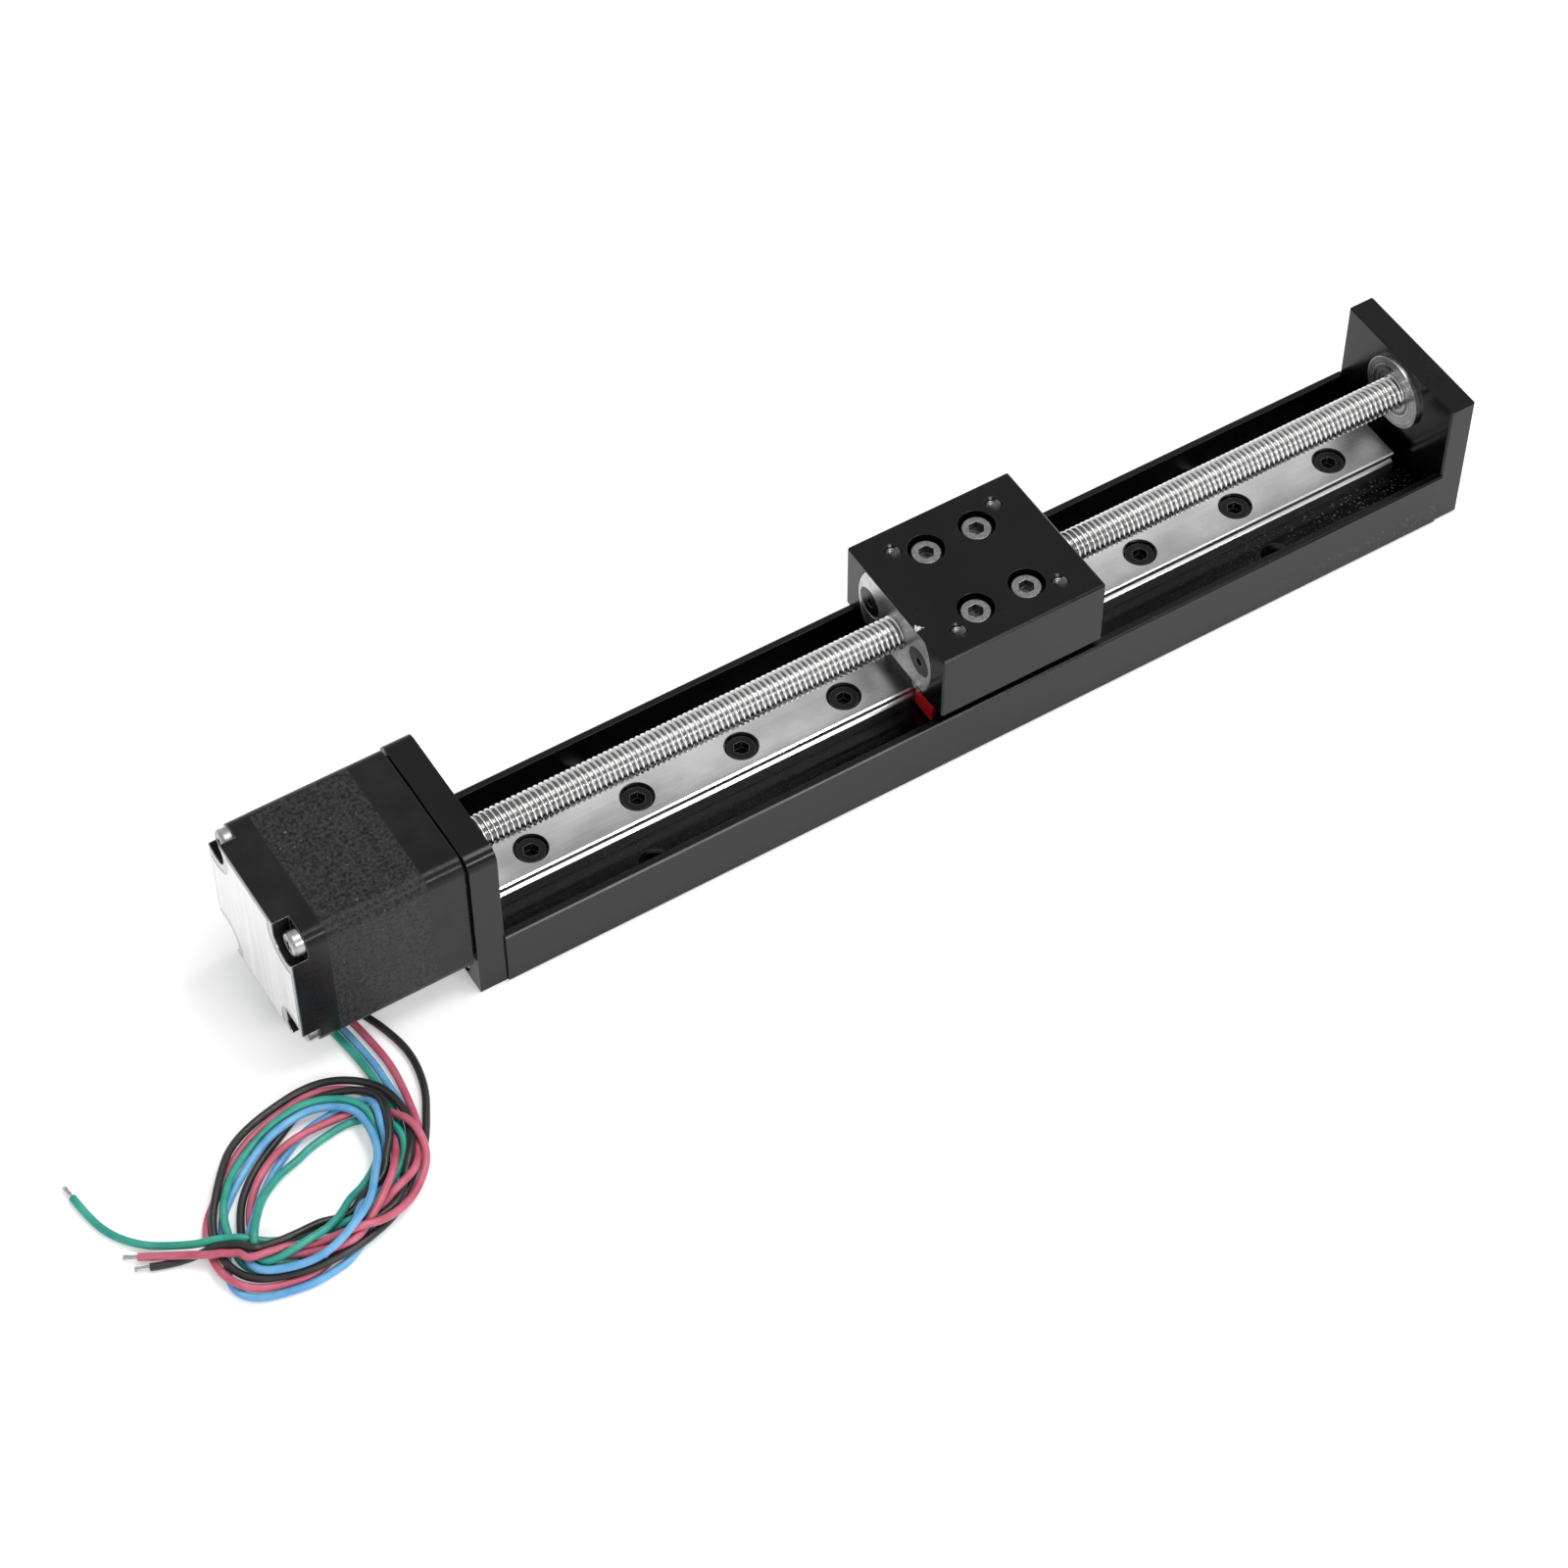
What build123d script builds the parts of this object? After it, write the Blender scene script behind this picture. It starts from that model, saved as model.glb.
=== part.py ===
from build123d import *
import math
import os

# Millimetres. The origin is the centre of the base's underside, +X runs from the motor
# to the far plate, +Y to the back and +Z up.

# Base: an extruded U channel with a locating groove for the rail
base_length = 186.0
base_width = 30.0
wall_thickness = 1.4
floor_thickness = 4.5
rail_groove_depth = 1.5
inner_corner_radius = 0.6
edge_break = 0.3

# Base mounting holes for M3 socket cap screws
base_hole_spacing_x = 125.0
base_hole_spacing_y = 20.0
base_counterbore_depth = 2.8

# Fits and clearances
groove_side_clearance = 0.05
seat_clearance = 0.01
screw_running_clearance = 0.05
ball_running_clearance = 0.05
shield_gap = 0.1
rail_running_gap = 0.3
seal_lip_gap = 0.15
thread_play = 0.02
head_clearance = 0.15
m3_head_clearance = 0.25
bore_clearance = 0.4
carriage_wall_gap = 1.3

# Socket cap screws: nominal thread, thread core, head and hexagon
m3_thread = 3.0
m3_core = 2.5
m3_head_diameter = 5.5
m3_head_height = 3.0
m3_hexagon = 2.5
m3_hexagon_depth = 1.6
m25_thread = 2.5
m25_core = 2.05
m25_head_diameter = 4.5
m25_head_height = 2.5
m25_hexagon = 2.0
m25_hexagon_depth = 1.3
m2_thread = 2.0
m2_core = 1.6
m2_head_diameter = 3.8
m2_head_height = 2.0
m2_hexagon = 1.5
m2_hexagon_depth = 1.0
head_chamfer = 0.3

# Guide rail, a 9 mm miniature ball rail
rail_width = 9.0
rail_height = 6.5
rail_near_gap = 1.8
rail_end_gap = 2.2
rail_chamfer = 0.25
rail_hole_pitch = 20.0
rail_end_margin = 9.0
rail_hole_clearance = 0.5
rail_counterbore_depth = 3.5
rail_screw_engagement = 2.0
raceway_drop = 1.5
raceway_offset = 0.15

# Guide block
block_body_length = 18.9
block_width = 20.0
block_height = 10.0
block_underside = 2.2
block_roof_gap = 0.5
block_edge_chamfer = 0.4
block_screw_depth = 3.0
block_screw_spacing_x = 10.0
block_screw_spacing_y = 15.0
return_bore_offset = 7.7
end_cap_length = 4.2
end_cap_inset = 0.3
seal_thickness = 0.8
ball_diameter = 1.6
row_ball_count = 11
row_ball_pitch = 1.75
turn_ball_count = 2
turn_ball_spread = 77.0
end_screw_core = 1.6
end_screw_head_diameter = 2.6
end_screw_head_height = 0.6
end_screw_length = 5.5
end_screw_drop = 1.6
end_screw_spacing = 11.0

# Carriage
carriage_length = 32.0
carriage_width = 29.5
carriage_height = 14.0
carriage_rest_x = 5.75
carriage_counterbore_clearance = 0.45
carriage_counterbore_depth = 3.8
carriage_screw_engagement = 1.8
tapped_spacing = 20.0
tapped_depth = 8.0
tapped_chamfer = 0.35

# Lead screw, drive nut and screw axis
screw_diameter = 6.0
journal_diameter = 5.0
screw_end_chamfer = 0.5
screw_end_inset = 0.5
nut_flange_diameter = 22.0
nut_flange_wall = 0.6
nut_flange_thickness = 3.5
nut_barrel_diameter = 10.0
nut_barrel_length = 11.5
nut_pocket_clearance = 0.1
nut_screw_spacing = 15.0
nut_screw_length = 7.5
nut_screw_head_diameter = 5.6
nut_screw_head_depth = 1.5
nut_thread_depth = 4.8
screw_passage_diameter = 8.0

# End plates
motor_plate_thickness = 5.0
motor_plate_margin = 0.5
end_plate_thickness = 5.0
end_plate_inset = 0.25
end_plate_margin = 7.8
plate_passage_diameter = 12.0
plate_screw_spacing = 18.0
plate_screw_height = 2.4
plate_head_sink = 0.2
plate_screw_length = 10.0

# Flanged end bearing
end_bearing_bore = 6.0
end_bearing_outside = 12.0
end_bearing_width = 4.0
end_bearing_flange = 13.6
end_bearing_flange_thickness = 0.8
end_bearing_ball = 1.5
end_bearing_ball_count = 9
end_bearing_pitch = 9.0
end_bearing_passage = 9.6
shield_thickness = 0.25

# Stepper motor, 28 mm square
motor_size = 28.0
motor_length = 31.0
motor_corner_radius = 2.5
front_cap_length = 7.0
rear_cap_length = 6.7
motor_gap = 0.5
motor_land_inset = 0.9
pilot_diameter = 22.0
pilot_length = 2.0
motor_hole_inset = 2.5
motor_screw_length = 5.5
motor_thread_depth = 4.0
cap_cavity_diameter = 24.0
cap_cavity_depth = 2.3
motor_passage_diameter = 7.0
motor_bearing_outside = 11.0
motor_bearing_width = 3.0
motor_bearing_ball = 1.6
motor_bearing_ball_count = 8
motor_bearing_pitch = 8.0
washer_thickness = 0.4
pole_count = 8
pole_width = 3.4
pole_bore = 17.4
yoke_bore = 23.0
winding_thickness = 1.1
winding_overhang = 1.6
winding_pole_gap = 0.15
rotor_diameter = 16.8
rotor_cup_length = 6.0
magnet_length = 2.4
magnet_diameter = 14.0
screw_notch_radius = 3.2
screw_notch_depth = 3.0
rear_screw_head_diameter = 4.4
rear_screw_head_height = 2.0
rear_screw_dome = 0.7
rear_screw_shank = 2.4
rear_screw_cross_width = 0.6
rear_screw_cross_length = 2.4
rear_screw_cross_depth = 0.8

# Motor leads
lead_diameter = 1.3
lead_exit_y = 6.0
grommet_length = 6.3
grommet_width = 2.4
grommet_depth = 3.0
coil_centre = (-138.2, -33.3)
coil_outer = (22.0, 14.0)
coil_inner = (13.0, 6.0)
coil_turn = 30.0
coil_height = 4.2
coil_edge_radius = 1.0
arc_share = 0.45
tip_diameter = 0.8
tip_length = 2.4

# Planes, heights and fits that several pieces share
base_near_end = -base_length / 2
base_far_end = base_length / 2
rail_seat = floor_thickness - rail_groove_depth
rail_top = rail_seat + rail_height
rail_near_end = base_near_end + rail_near_gap
rail_length = base_length - rail_near_gap - rail_end_gap
rail_hole_count = int((rail_length - 2 * rail_end_margin) // rail_hole_pitch) + 1
raceway_height = rail_top - raceway_drop
raceway_radius = ball_diameter / 2 + ball_running_clearance
loaded_row_offset = rail_width / 2 + raceway_offset
ball_turn_radius = (return_bore_offset - loaded_row_offset) / 2
ball_turn_offset = loaded_row_offset + ball_turn_radius
m3_hole_diameter = m3_thread + bore_clearance
m3_counterbore_diameter = m3_head_diameter + 2 * m3_head_clearance
plate_counterbore_depth = m2_head_height + plate_head_sink
block_top = rail_seat + block_height
wall_height = block_top - carriage_wall_gap
block_length = block_body_length + 2 * (end_cap_length + seal_thickness)
screw_axis_height = block_top + carriage_height / 2
carriage_top = block_top + carriage_height
carriage_near_face = carriage_rest_x - carriage_length / 2
nut_flange_height = carriage_height - 2 * nut_flange_wall
motor_hole_spacing = motor_size - 2 * motor_hole_inset
motor_plate_width = motor_size + 2 * motor_plate_margin
motor_plate_height = screw_axis_height + motor_size / 2
end_plate_width = base_width - 2 * end_plate_inset
end_plate_height = screw_axis_height + end_plate_margin
motor_face = base_near_end - motor_plate_thickness
motor_underside = screw_axis_height - motor_size / 2
stator_front = motor_face - front_cap_length
stator_rear = motor_face - motor_length + rear_cap_length
motor_rear = motor_face - motor_length
end_plate_outside = base_far_end + end_plate_thickness
screw_axis = Axis((0, 0, screw_axis_height), (1, 0, 0))
front_bearing_near = stator_front + cap_cavity_depth
rear_bearing_near = stator_rear - cap_cavity_depth - motor_bearing_width
end_bearing_near = base_far_end - end_bearing_flange_thickness


def across(x):
    """The plane across the slide at x, centred on the screw axis and facing the far plate."""
    return Plane(origin=(x, 0, screw_axis_height), x_dir=(0, 1, 0), z_dir=(1, 0, 0))


def save(piece, name):
    """Label one finished piece and write its file."""
    piece.label = name
    export_step(piece, f"parts/{name}.step")


def cap_screw(core, length, head, head_height, hexagon, hexagon_depth):
    """A socket cap screw that stands on Z = 0 under its head, with its thread at the core size."""
    with BuildPart() as screw:
        with BuildSketch():
            Circle(head / 2)
        extrude(amount=head_height)
        chamfer(screw.edges().sort_by(Axis.Z)[-1], head_chamfer)
        with BuildSketch():
            Circle(core / 2 - thread_play)
        extrude(amount=-length)
        with BuildSketch(Plane.XY.offset(head_height)):
            RegularPolygon(radius=hexagon / 2, side_count=6, major_radius=False)
        extrude(amount=-hexagon_depth, mode=Mode.SUBTRACT)
    return screw.part


def m3_screw(length):
    """An M3 socket cap screw."""
    return cap_screw(m3_core, length, m3_head_diameter, m3_head_height, m3_hexagon, m3_hexagon_depth)


def ball_bearing(name, near, bore, outside, width, ball, pitch, count, flange=0.0, flange_thickness=0.0):
    """Write the rings, balls and shields of a ball bearing whose near face is at x = near."""
    groove = ball / 2 + ball_running_clearance
    inner_shoulder = pitch / 2 - ball / 4
    outer_shoulder = pitch / 2 + ball / 4
    shield_seat = (outer_shoulder + outside / 2) / 2
    with BuildPart() as inner_ring:
        with BuildSketch(Plane.XZ):
            with Locations((near, screw_axis_height + bore / 2)):
                Rectangle(width, inner_shoulder - bore / 2, align=(Align.MIN, Align.MIN))
            with Locations((near + width / 2, screw_axis_height + pitch / 2)):
                Circle(groove, mode=Mode.SUBTRACT)
        revolve(axis=screw_axis)
    save(inner_ring.part, f"{name}_inner_ring")

    with BuildPart() as outer_ring:
        with BuildSketch(Plane.XZ):
            with Locations((near, screw_axis_height + outer_shoulder)):
                Rectangle(width, outside / 2 - outer_shoulder, align=(Align.MIN, Align.MIN))
                if flange > outside:
                    Rectangle(flange_thickness, flange / 2 - outer_shoulder, align=(Align.MIN, Align.MIN))
            for shield_near in (near, near + width - shield_thickness):
                with Locations((shield_near, screw_axis_height + outer_shoulder)):
                    Rectangle(
                        shield_thickness,
                        shield_seat - outer_shoulder,
                        align=(Align.MIN, Align.MIN),
                        mode=Mode.SUBTRACT,
                    )
            with Locations((near + width / 2, screw_axis_height + pitch / 2)):
                Circle(groove, mode=Mode.SUBTRACT)
        revolve(axis=screw_axis)
    save(outer_ring.part, f"{name}_outer_ring")

    with BuildPart() as shields:
        with BuildSketch(across(near), across(near + width - shield_thickness)):
            Circle(shield_seat)
            Circle(inner_shoulder + shield_gap, mode=Mode.SUBTRACT)
        extrude(amount=shield_thickness)
    save(shields.part, f"{name}_shields")

    with BuildPart(across(near + width / 2)) as balls:
        with PolarLocations(pitch / 2, count):
            Sphere(ball / 2)
    save(balls.part, f"{name}_balls")


os.makedirs("parts", exist_ok=True)


# Base profile: the U channel, cut with the rail groove and all its holes

with BuildPart() as base_profile:
    with BuildSketch(Plane.YZ.offset(base_near_end)):
        Rectangle(base_width, wall_height, align=(Align.CENTER, Align.MIN))
        with Locations((0, floor_thickness)):
            Rectangle(
                base_width - 2 * wall_thickness,
                wall_height,
                align=(Align.CENTER, Align.MIN),
                mode=Mode.SUBTRACT,
            )
        with Locations((0, rail_seat)):
            Rectangle(
                rail_width + 2 * groove_side_clearance,
                wall_height,
                align=(Align.CENTER, Align.MIN),
                mode=Mode.SUBTRACT,
            )
    extrude(amount=base_length)
    long_edges = base_profile.edges().filter_by(Axis.X)
    wall_feet = long_edges.filter_by_position(
        Axis.Z, floor_thickness - seat_clearance, floor_thickness + seat_clearance
    )
    fillet(wall_feet.group_by(Axis.Y)[0] + wall_feet.group_by(Axis.Y)[-1], inner_corner_radius)
    outside_edges = base_profile.edges().filter_by(Axis.X)
    chamfer(
        outside_edges.group_by(Axis.Z)[-1].group_by(Axis.Y)[0]
        + outside_edges.group_by(Axis.Z)[-1].group_by(Axis.Y)[-1]
        + outside_edges.group_by(Axis.Z)[0],
        edge_break,
    )
    with Locations((0, 0, floor_thickness)):
        with GridLocations(base_hole_spacing_x, base_hole_spacing_y, 2, 2):
            CounterBoreHole(m3_hole_diameter / 2, m3_counterbore_diameter / 2, base_counterbore_depth)
    with Locations((0, 0, rail_seat)):
        with GridLocations(rail_hole_pitch, 0, rail_hole_count, 1):
            Hole(m3_core / 2)
    for end_plane in (Plane.YZ.offset(base_near_end), Plane.YZ.offset(base_far_end)):
        with BuildSketch(end_plane):
            with Locations((0, plate_screw_height)):
                with GridLocations(plate_screw_spacing, 0, 2, 1):
                    Circle(m2_core / 2)
        inward = plate_screw_length if end_plane.origin.X < 0 else -plate_screw_length
        extrude(amount=inward, mode=Mode.SUBTRACT)
save(base_profile.part, "base_profile")


# Motor plate, with the motor's pilot bore and the screws that hold motor and base

with BuildPart() as motor_plate:
    with BuildSketch(Plane.YZ.offset(motor_face)):
        Rectangle(motor_plate_width, motor_plate_height, align=(Align.CENTER, Align.MIN))
    extrude(amount=motor_plate_thickness)
    fillet(motor_plate.edges().filter_by(Axis.X).group_by(Axis.Z)[-1], motor_corner_radius)
    with BuildSketch(across(motor_face)):
        Circle(pilot_diameter / 2 + seat_clearance)
    extrude(amount=pilot_length + seat_clearance, mode=Mode.SUBTRACT)
    with BuildSketch(across(motor_face)):
        Circle(plate_passage_diameter / 2)
        with GridLocations(motor_hole_spacing, motor_hole_spacing, 2, 2):
            Circle((m25_thread + bore_clearance) / 2)
    extrude(amount=motor_plate_thickness, mode=Mode.SUBTRACT)
    with BuildSketch(across(base_near_end)):
        with GridLocations(motor_hole_spacing, motor_hole_spacing, 2, 2):
            Circle(m25_head_diameter / 2 + head_clearance)
    extrude(amount=-m25_head_height, mode=Mode.SUBTRACT)
    with BuildSketch(Plane.YZ.offset(motor_face)):
        with Locations((0, plate_screw_height)):
            with GridLocations(plate_screw_spacing, 0, 2, 1):
                Circle((m2_thread + bore_clearance) / 2)
    extrude(amount=motor_plate_thickness, mode=Mode.SUBTRACT)
    with BuildSketch(Plane.YZ.offset(motor_face)):
        with Locations((0, plate_screw_height)):
            with GridLocations(plate_screw_spacing, 0, 2, 1):
                Circle(m2_head_diameter / 2 + head_clearance)
    extrude(amount=plate_counterbore_depth, mode=Mode.SUBTRACT)
save(motor_plate.part, "motor_plate")


# End plate, with the seat of the flanged bearing

with BuildPart() as end_plate:
    with BuildSketch(Plane.YZ.offset(base_far_end)):
        Rectangle(end_plate_width, end_plate_height, align=(Align.CENTER, Align.MIN))
    extrude(amount=end_plate_thickness)
    chamfer(end_plate.edges(), edge_break)
    with BuildSketch(across(base_far_end)):
        Circle(end_bearing_outside / 2 + seat_clearance)
    extrude(amount=end_bearing_width - end_bearing_flange_thickness, mode=Mode.SUBTRACT)
    with BuildSketch(across(base_far_end)):
        Circle(end_bearing_passage / 2)
    extrude(amount=end_plate_thickness, mode=Mode.SUBTRACT)
    with BuildSketch(Plane.YZ.offset(end_plate_outside)):
        with Locations((0, plate_screw_height)):
            with GridLocations(plate_screw_spacing, 0, 2, 1):
                Circle((m2_thread + bore_clearance) / 2)
    extrude(amount=-end_plate_thickness, mode=Mode.SUBTRACT)
    with BuildSketch(Plane.YZ.offset(end_plate_outside)):
        with Locations((0, plate_screw_height)):
            with GridLocations(plate_screw_spacing, 0, 2, 1):
                Circle(m2_head_diameter / 2 + head_clearance)
    extrude(amount=-plate_counterbore_depth, mode=Mode.SUBTRACT)
save(end_plate.part, "end_plate")


# Screws of the two plates and of the motor flange

m2_screw = cap_screw(
    m2_core,
    motor_plate_thickness - plate_counterbore_depth + plate_screw_length - m2_thread,
    m2_head_diameter,
    m2_head_height,
    m2_hexagon,
    m2_hexagon_depth,
)
m25_screw = cap_screw(
    m25_core, motor_screw_length, m25_head_diameter, m25_head_height, m25_hexagon, m25_hexagon_depth
)

near_screw_seat = Plane(
    origin=(motor_face + plate_counterbore_depth, 0, plate_screw_height), x_dir=(0, 1, 0), z_dir=(-1, 0, 0)
)
with BuildPart(near_screw_seat) as motor_plate_screws:
    with GridLocations(plate_screw_spacing, 0, 2, 1):
        add(m2_screw)
save(motor_plate_screws.part, "motor_plate_screws")

far_screw_seat = Plane(
    origin=(end_plate_outside - plate_counterbore_depth, 0, plate_screw_height),
    x_dir=(0, 1, 0),
    z_dir=(1, 0, 0),
)
with BuildPart(far_screw_seat) as end_plate_screws:
    with GridLocations(plate_screw_spacing, 0, 2, 1):
        add(m2_screw)
save(end_plate_screws.part, "end_plate_screws")

with BuildPart(across(base_near_end - m25_head_height)) as motor_mount_screws:
    with GridLocations(motor_hole_spacing, motor_hole_spacing, 2, 2):
        add(m25_screw)
save(motor_mount_screws.part, "motor_mount_screws")


# Guide rail and its screws

with BuildPart() as guide_rail:
    with BuildSketch(Plane.YZ.offset(rail_near_end)) as rail_section:
        with Locations((0, rail_seat)):
            Rectangle(rail_width, rail_height, align=(Align.CENTER, Align.MIN))
        chamfer(rail_section.vertices(), rail_chamfer)
        with Locations((0, raceway_height)):
            with GridLocations(2 * loaded_row_offset, 0, 2, 1):
                Circle(raceway_radius, mode=Mode.SUBTRACT)
    extrude(amount=rail_length)
    with Locations((0, 0, rail_top)):
        with GridLocations(rail_hole_pitch, 0, rail_hole_count, 1):
            CounterBoreHole(
                (m3_thread + rail_hole_clearance) / 2, m3_counterbore_diameter / 2, rail_counterbore_depth
            )
save(guide_rail.part, "guide_rail")

rail_screw = m3_screw(rail_height - rail_counterbore_depth + rail_screw_engagement)
with BuildPart(Plane.XY.offset(rail_top - rail_counterbore_depth)) as rail_screws:
    with GridLocations(rail_hole_pitch, 0, rail_hole_count, 1):
        add(rail_screw)
save(rail_screws.part, "rail_screws")


# Guide block: hardened body, end caps, red wiper seals and balls

def block_section(inset, rail_gap, roof_gap):
    """The block's cross-section: a saddle over the rail, drawn across the slide."""
    with BuildSketch() as section:
        with Locations((0, rail_seat + block_underside + inset)):
            Rectangle(
                block_width - 2 * inset,
                block_height - block_underside - 2 * inset,
                align=(Align.CENTER, Align.MIN),
            )
        chamfer(section.vertices(), block_edge_chamfer)
        with Locations((0, rail_seat)):
            Rectangle(
                rail_width + 2 * rail_gap,
                rail_height + roof_gap,
                align=(Align.CENTER, Align.MIN),
                mode=Mode.SUBTRACT,
            )
    return section.sketch


block_body_near = carriage_rest_x - block_body_length / 2
block_body_far = carriage_rest_x + block_body_length / 2
body_section = block_section(0, rail_running_gap, block_roof_gap)
cap_section = block_section(end_cap_inset, rail_running_gap, block_roof_gap)
seal_section = block_section(end_cap_inset, seal_lip_gap, seal_lip_gap)

with BuildPart() as guide_block:
    with BuildSketch(Plane.YZ.offset(block_body_near)):
        add(body_section)
        with Locations((0, raceway_height)):
            with GridLocations(2 * loaded_row_offset, 0, 2, 1):
                Circle(raceway_radius, mode=Mode.SUBTRACT)
            with GridLocations(2 * return_bore_offset, 0, 2, 1):
                Circle(raceway_radius, mode=Mode.SUBTRACT)
    extrude(amount=block_body_length)
    with Locations((carriage_rest_x, 0, block_top)):
        with GridLocations(block_screw_spacing_x, block_screw_spacing_y, 2, 2):
            Hole(m3_core / 2, depth=block_screw_depth)
    with BuildSketch(Plane.YZ.offset(block_body_near)):
        with Locations((0, block_top - end_screw_drop)):
            with GridLocations(end_screw_spacing, 0, 2, 1):
                Circle(end_screw_core / 2)
    extrude(amount=block_body_length, mode=Mode.SUBTRACT)
save(guide_block.part, "guide_block")

with BuildPart() as block_end_caps:
    with BuildSketch(
        Plane.YZ.offset(block_body_near - end_cap_length),
        Plane.YZ.offset(block_body_far),
    ):
        add(cap_section)
        with Locations((0, block_top - end_screw_drop)):
            with GridLocations(end_screw_spacing, 0, 2, 1):
                Circle(end_screw_core / 2 + thread_play, mode=Mode.SUBTRACT)
    extrude(amount=end_cap_length)
    with Locations((block_body_near, 0, raceway_height), (block_body_far, 0, raceway_height)):
        with GridLocations(0, 2 * ball_turn_offset, 1, 2):
            Torus(ball_turn_radius, raceway_radius, mode=Mode.SUBTRACT)
save(block_end_caps.part, "block_end_caps")

with BuildPart() as block_end_seals:
    with BuildSketch(
        Plane.YZ.offset(block_body_near - end_cap_length - seal_thickness),
        Plane.YZ.offset(block_body_far + end_cap_length),
    ):
        add(seal_section)
        with Locations((0, block_top - end_screw_drop)):
            with GridLocations(end_screw_spacing, 0, 2, 1):
                Circle(end_screw_core / 2 + thread_play, mode=Mode.SUBTRACT)
    extrude(amount=seal_thickness)
save(block_end_seals.part, "block_end_seals")

with BuildPart() as end_screw:
    with BuildSketch():
        Circle(end_screw_head_diameter / 2)
    extrude(amount=end_screw_head_height)
    with BuildSketch():
        Circle(end_screw_core / 2 - thread_play)
    extrude(amount=-end_screw_length)

near_seal_face = Plane(
    origin=(carriage_rest_x - block_length / 2, 0, block_top - end_screw_drop),
    x_dir=(0, 1, 0),
    z_dir=(-1, 0, 0),
)
far_seal_face = Plane(
    origin=(carriage_rest_x + block_length / 2, 0, block_top - end_screw_drop),
    x_dir=(0, 1, 0),
    z_dir=(1, 0, 0),
)
with BuildPart(near_seal_face, far_seal_face) as block_end_screws:
    with GridLocations(end_screw_spacing, 0, 2, 1):
        add(end_screw.part)
save(block_end_screws.part, "block_end_screws")

# The balls run loaded beside the rail, turn round in the end caps and come back in the body
ball_turns = [
    Location((end, side * ball_turn_offset, 0), (0, 0, facing))
    for end, facing in ((block_body_near, 180), (block_body_far, 0))
    for side in (-1, 1)
]
with BuildPart(Plane.XY.offset(raceway_height)) as block_balls:
    with Locations((carriage_rest_x, 0)):
        with GridLocations(row_ball_pitch, 2 * loaded_row_offset, row_ball_count, 2):
            Sphere(ball_diameter / 2)
        with GridLocations(row_ball_pitch, 2 * return_bore_offset, row_ball_count, 2):
            Sphere(ball_diameter / 2)
    with Locations(*ball_turns):
        with PolarLocations(
            ball_turn_radius, turn_ball_count, -turn_ball_spread / 2, turn_ball_spread, endpoint=True
        ):
            Sphere(ball_diameter / 2)
save(block_balls.part, "block_balls")


# Carriage block

with BuildPart() as carriage:
    with BuildSketch(Plane.XY.offset(block_top)):
        with Locations((carriage_rest_x, 0)):
            Rectangle(carriage_length, carriage_width)
    extrude(amount=carriage_height)
    chamfer(carriage.edges(), edge_break)
    with BuildSketch(across(carriage_near_face)):
        Circle(nut_flange_diameter / 2 + nut_pocket_clearance)
        Rectangle(
            nut_flange_diameter + 2 * nut_pocket_clearance,
            nut_flange_height + 2 * nut_pocket_clearance,
            mode=Mode.INTERSECT,
        )
    extrude(amount=nut_flange_thickness, mode=Mode.SUBTRACT)
    with BuildSketch(across(carriage_near_face + nut_flange_thickness)):
        with GridLocations(nut_screw_spacing, 0, 2, 1):
            Circle(m3_core / 2)
    extrude(amount=nut_thread_depth, mode=Mode.SUBTRACT)
    with BuildSketch(across(carriage_near_face)):
        Circle(nut_barrel_diameter / 2 + nut_pocket_clearance)
    extrude(amount=nut_flange_thickness + nut_barrel_length + nut_pocket_clearance, mode=Mode.SUBTRACT)
    with BuildSketch(across(carriage_near_face)):
        Circle(screw_passage_diameter / 2)
    extrude(amount=carriage_length, mode=Mode.SUBTRACT)
    with Locations((carriage_rest_x, 0, carriage_top)):
        with GridLocations(block_screw_spacing_x, block_screw_spacing_y, 2, 2):
            CounterBoreHole(
                m3_hole_diameter / 2,
                m3_head_diameter / 2 + carriage_counterbore_clearance,
                carriage_counterbore_depth,
                depth=carriage_height,
            )
        with GridLocations(tapped_spacing, tapped_spacing, 2, 2):
            CounterSinkHole(m3_core / 2, m3_core / 2 + tapped_chamfer, depth=tapped_depth)
save(carriage.part, "carriage")

carriage_screw = m3_screw(carriage_height - carriage_counterbore_depth + carriage_screw_engagement)
with BuildPart(Plane.XY.offset(carriage_top - carriage_counterbore_depth)) as carriage_screws:
    with Locations((carriage_rest_x, 0)):
        with GridLocations(block_screw_spacing_x, block_screw_spacing_y, 2, 2):
            add(carriage_screw)
save(carriage_screws.part, "carriage_screws")


# Drive nut: a flange with two flats and a barrel that goes into the carriage

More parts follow.
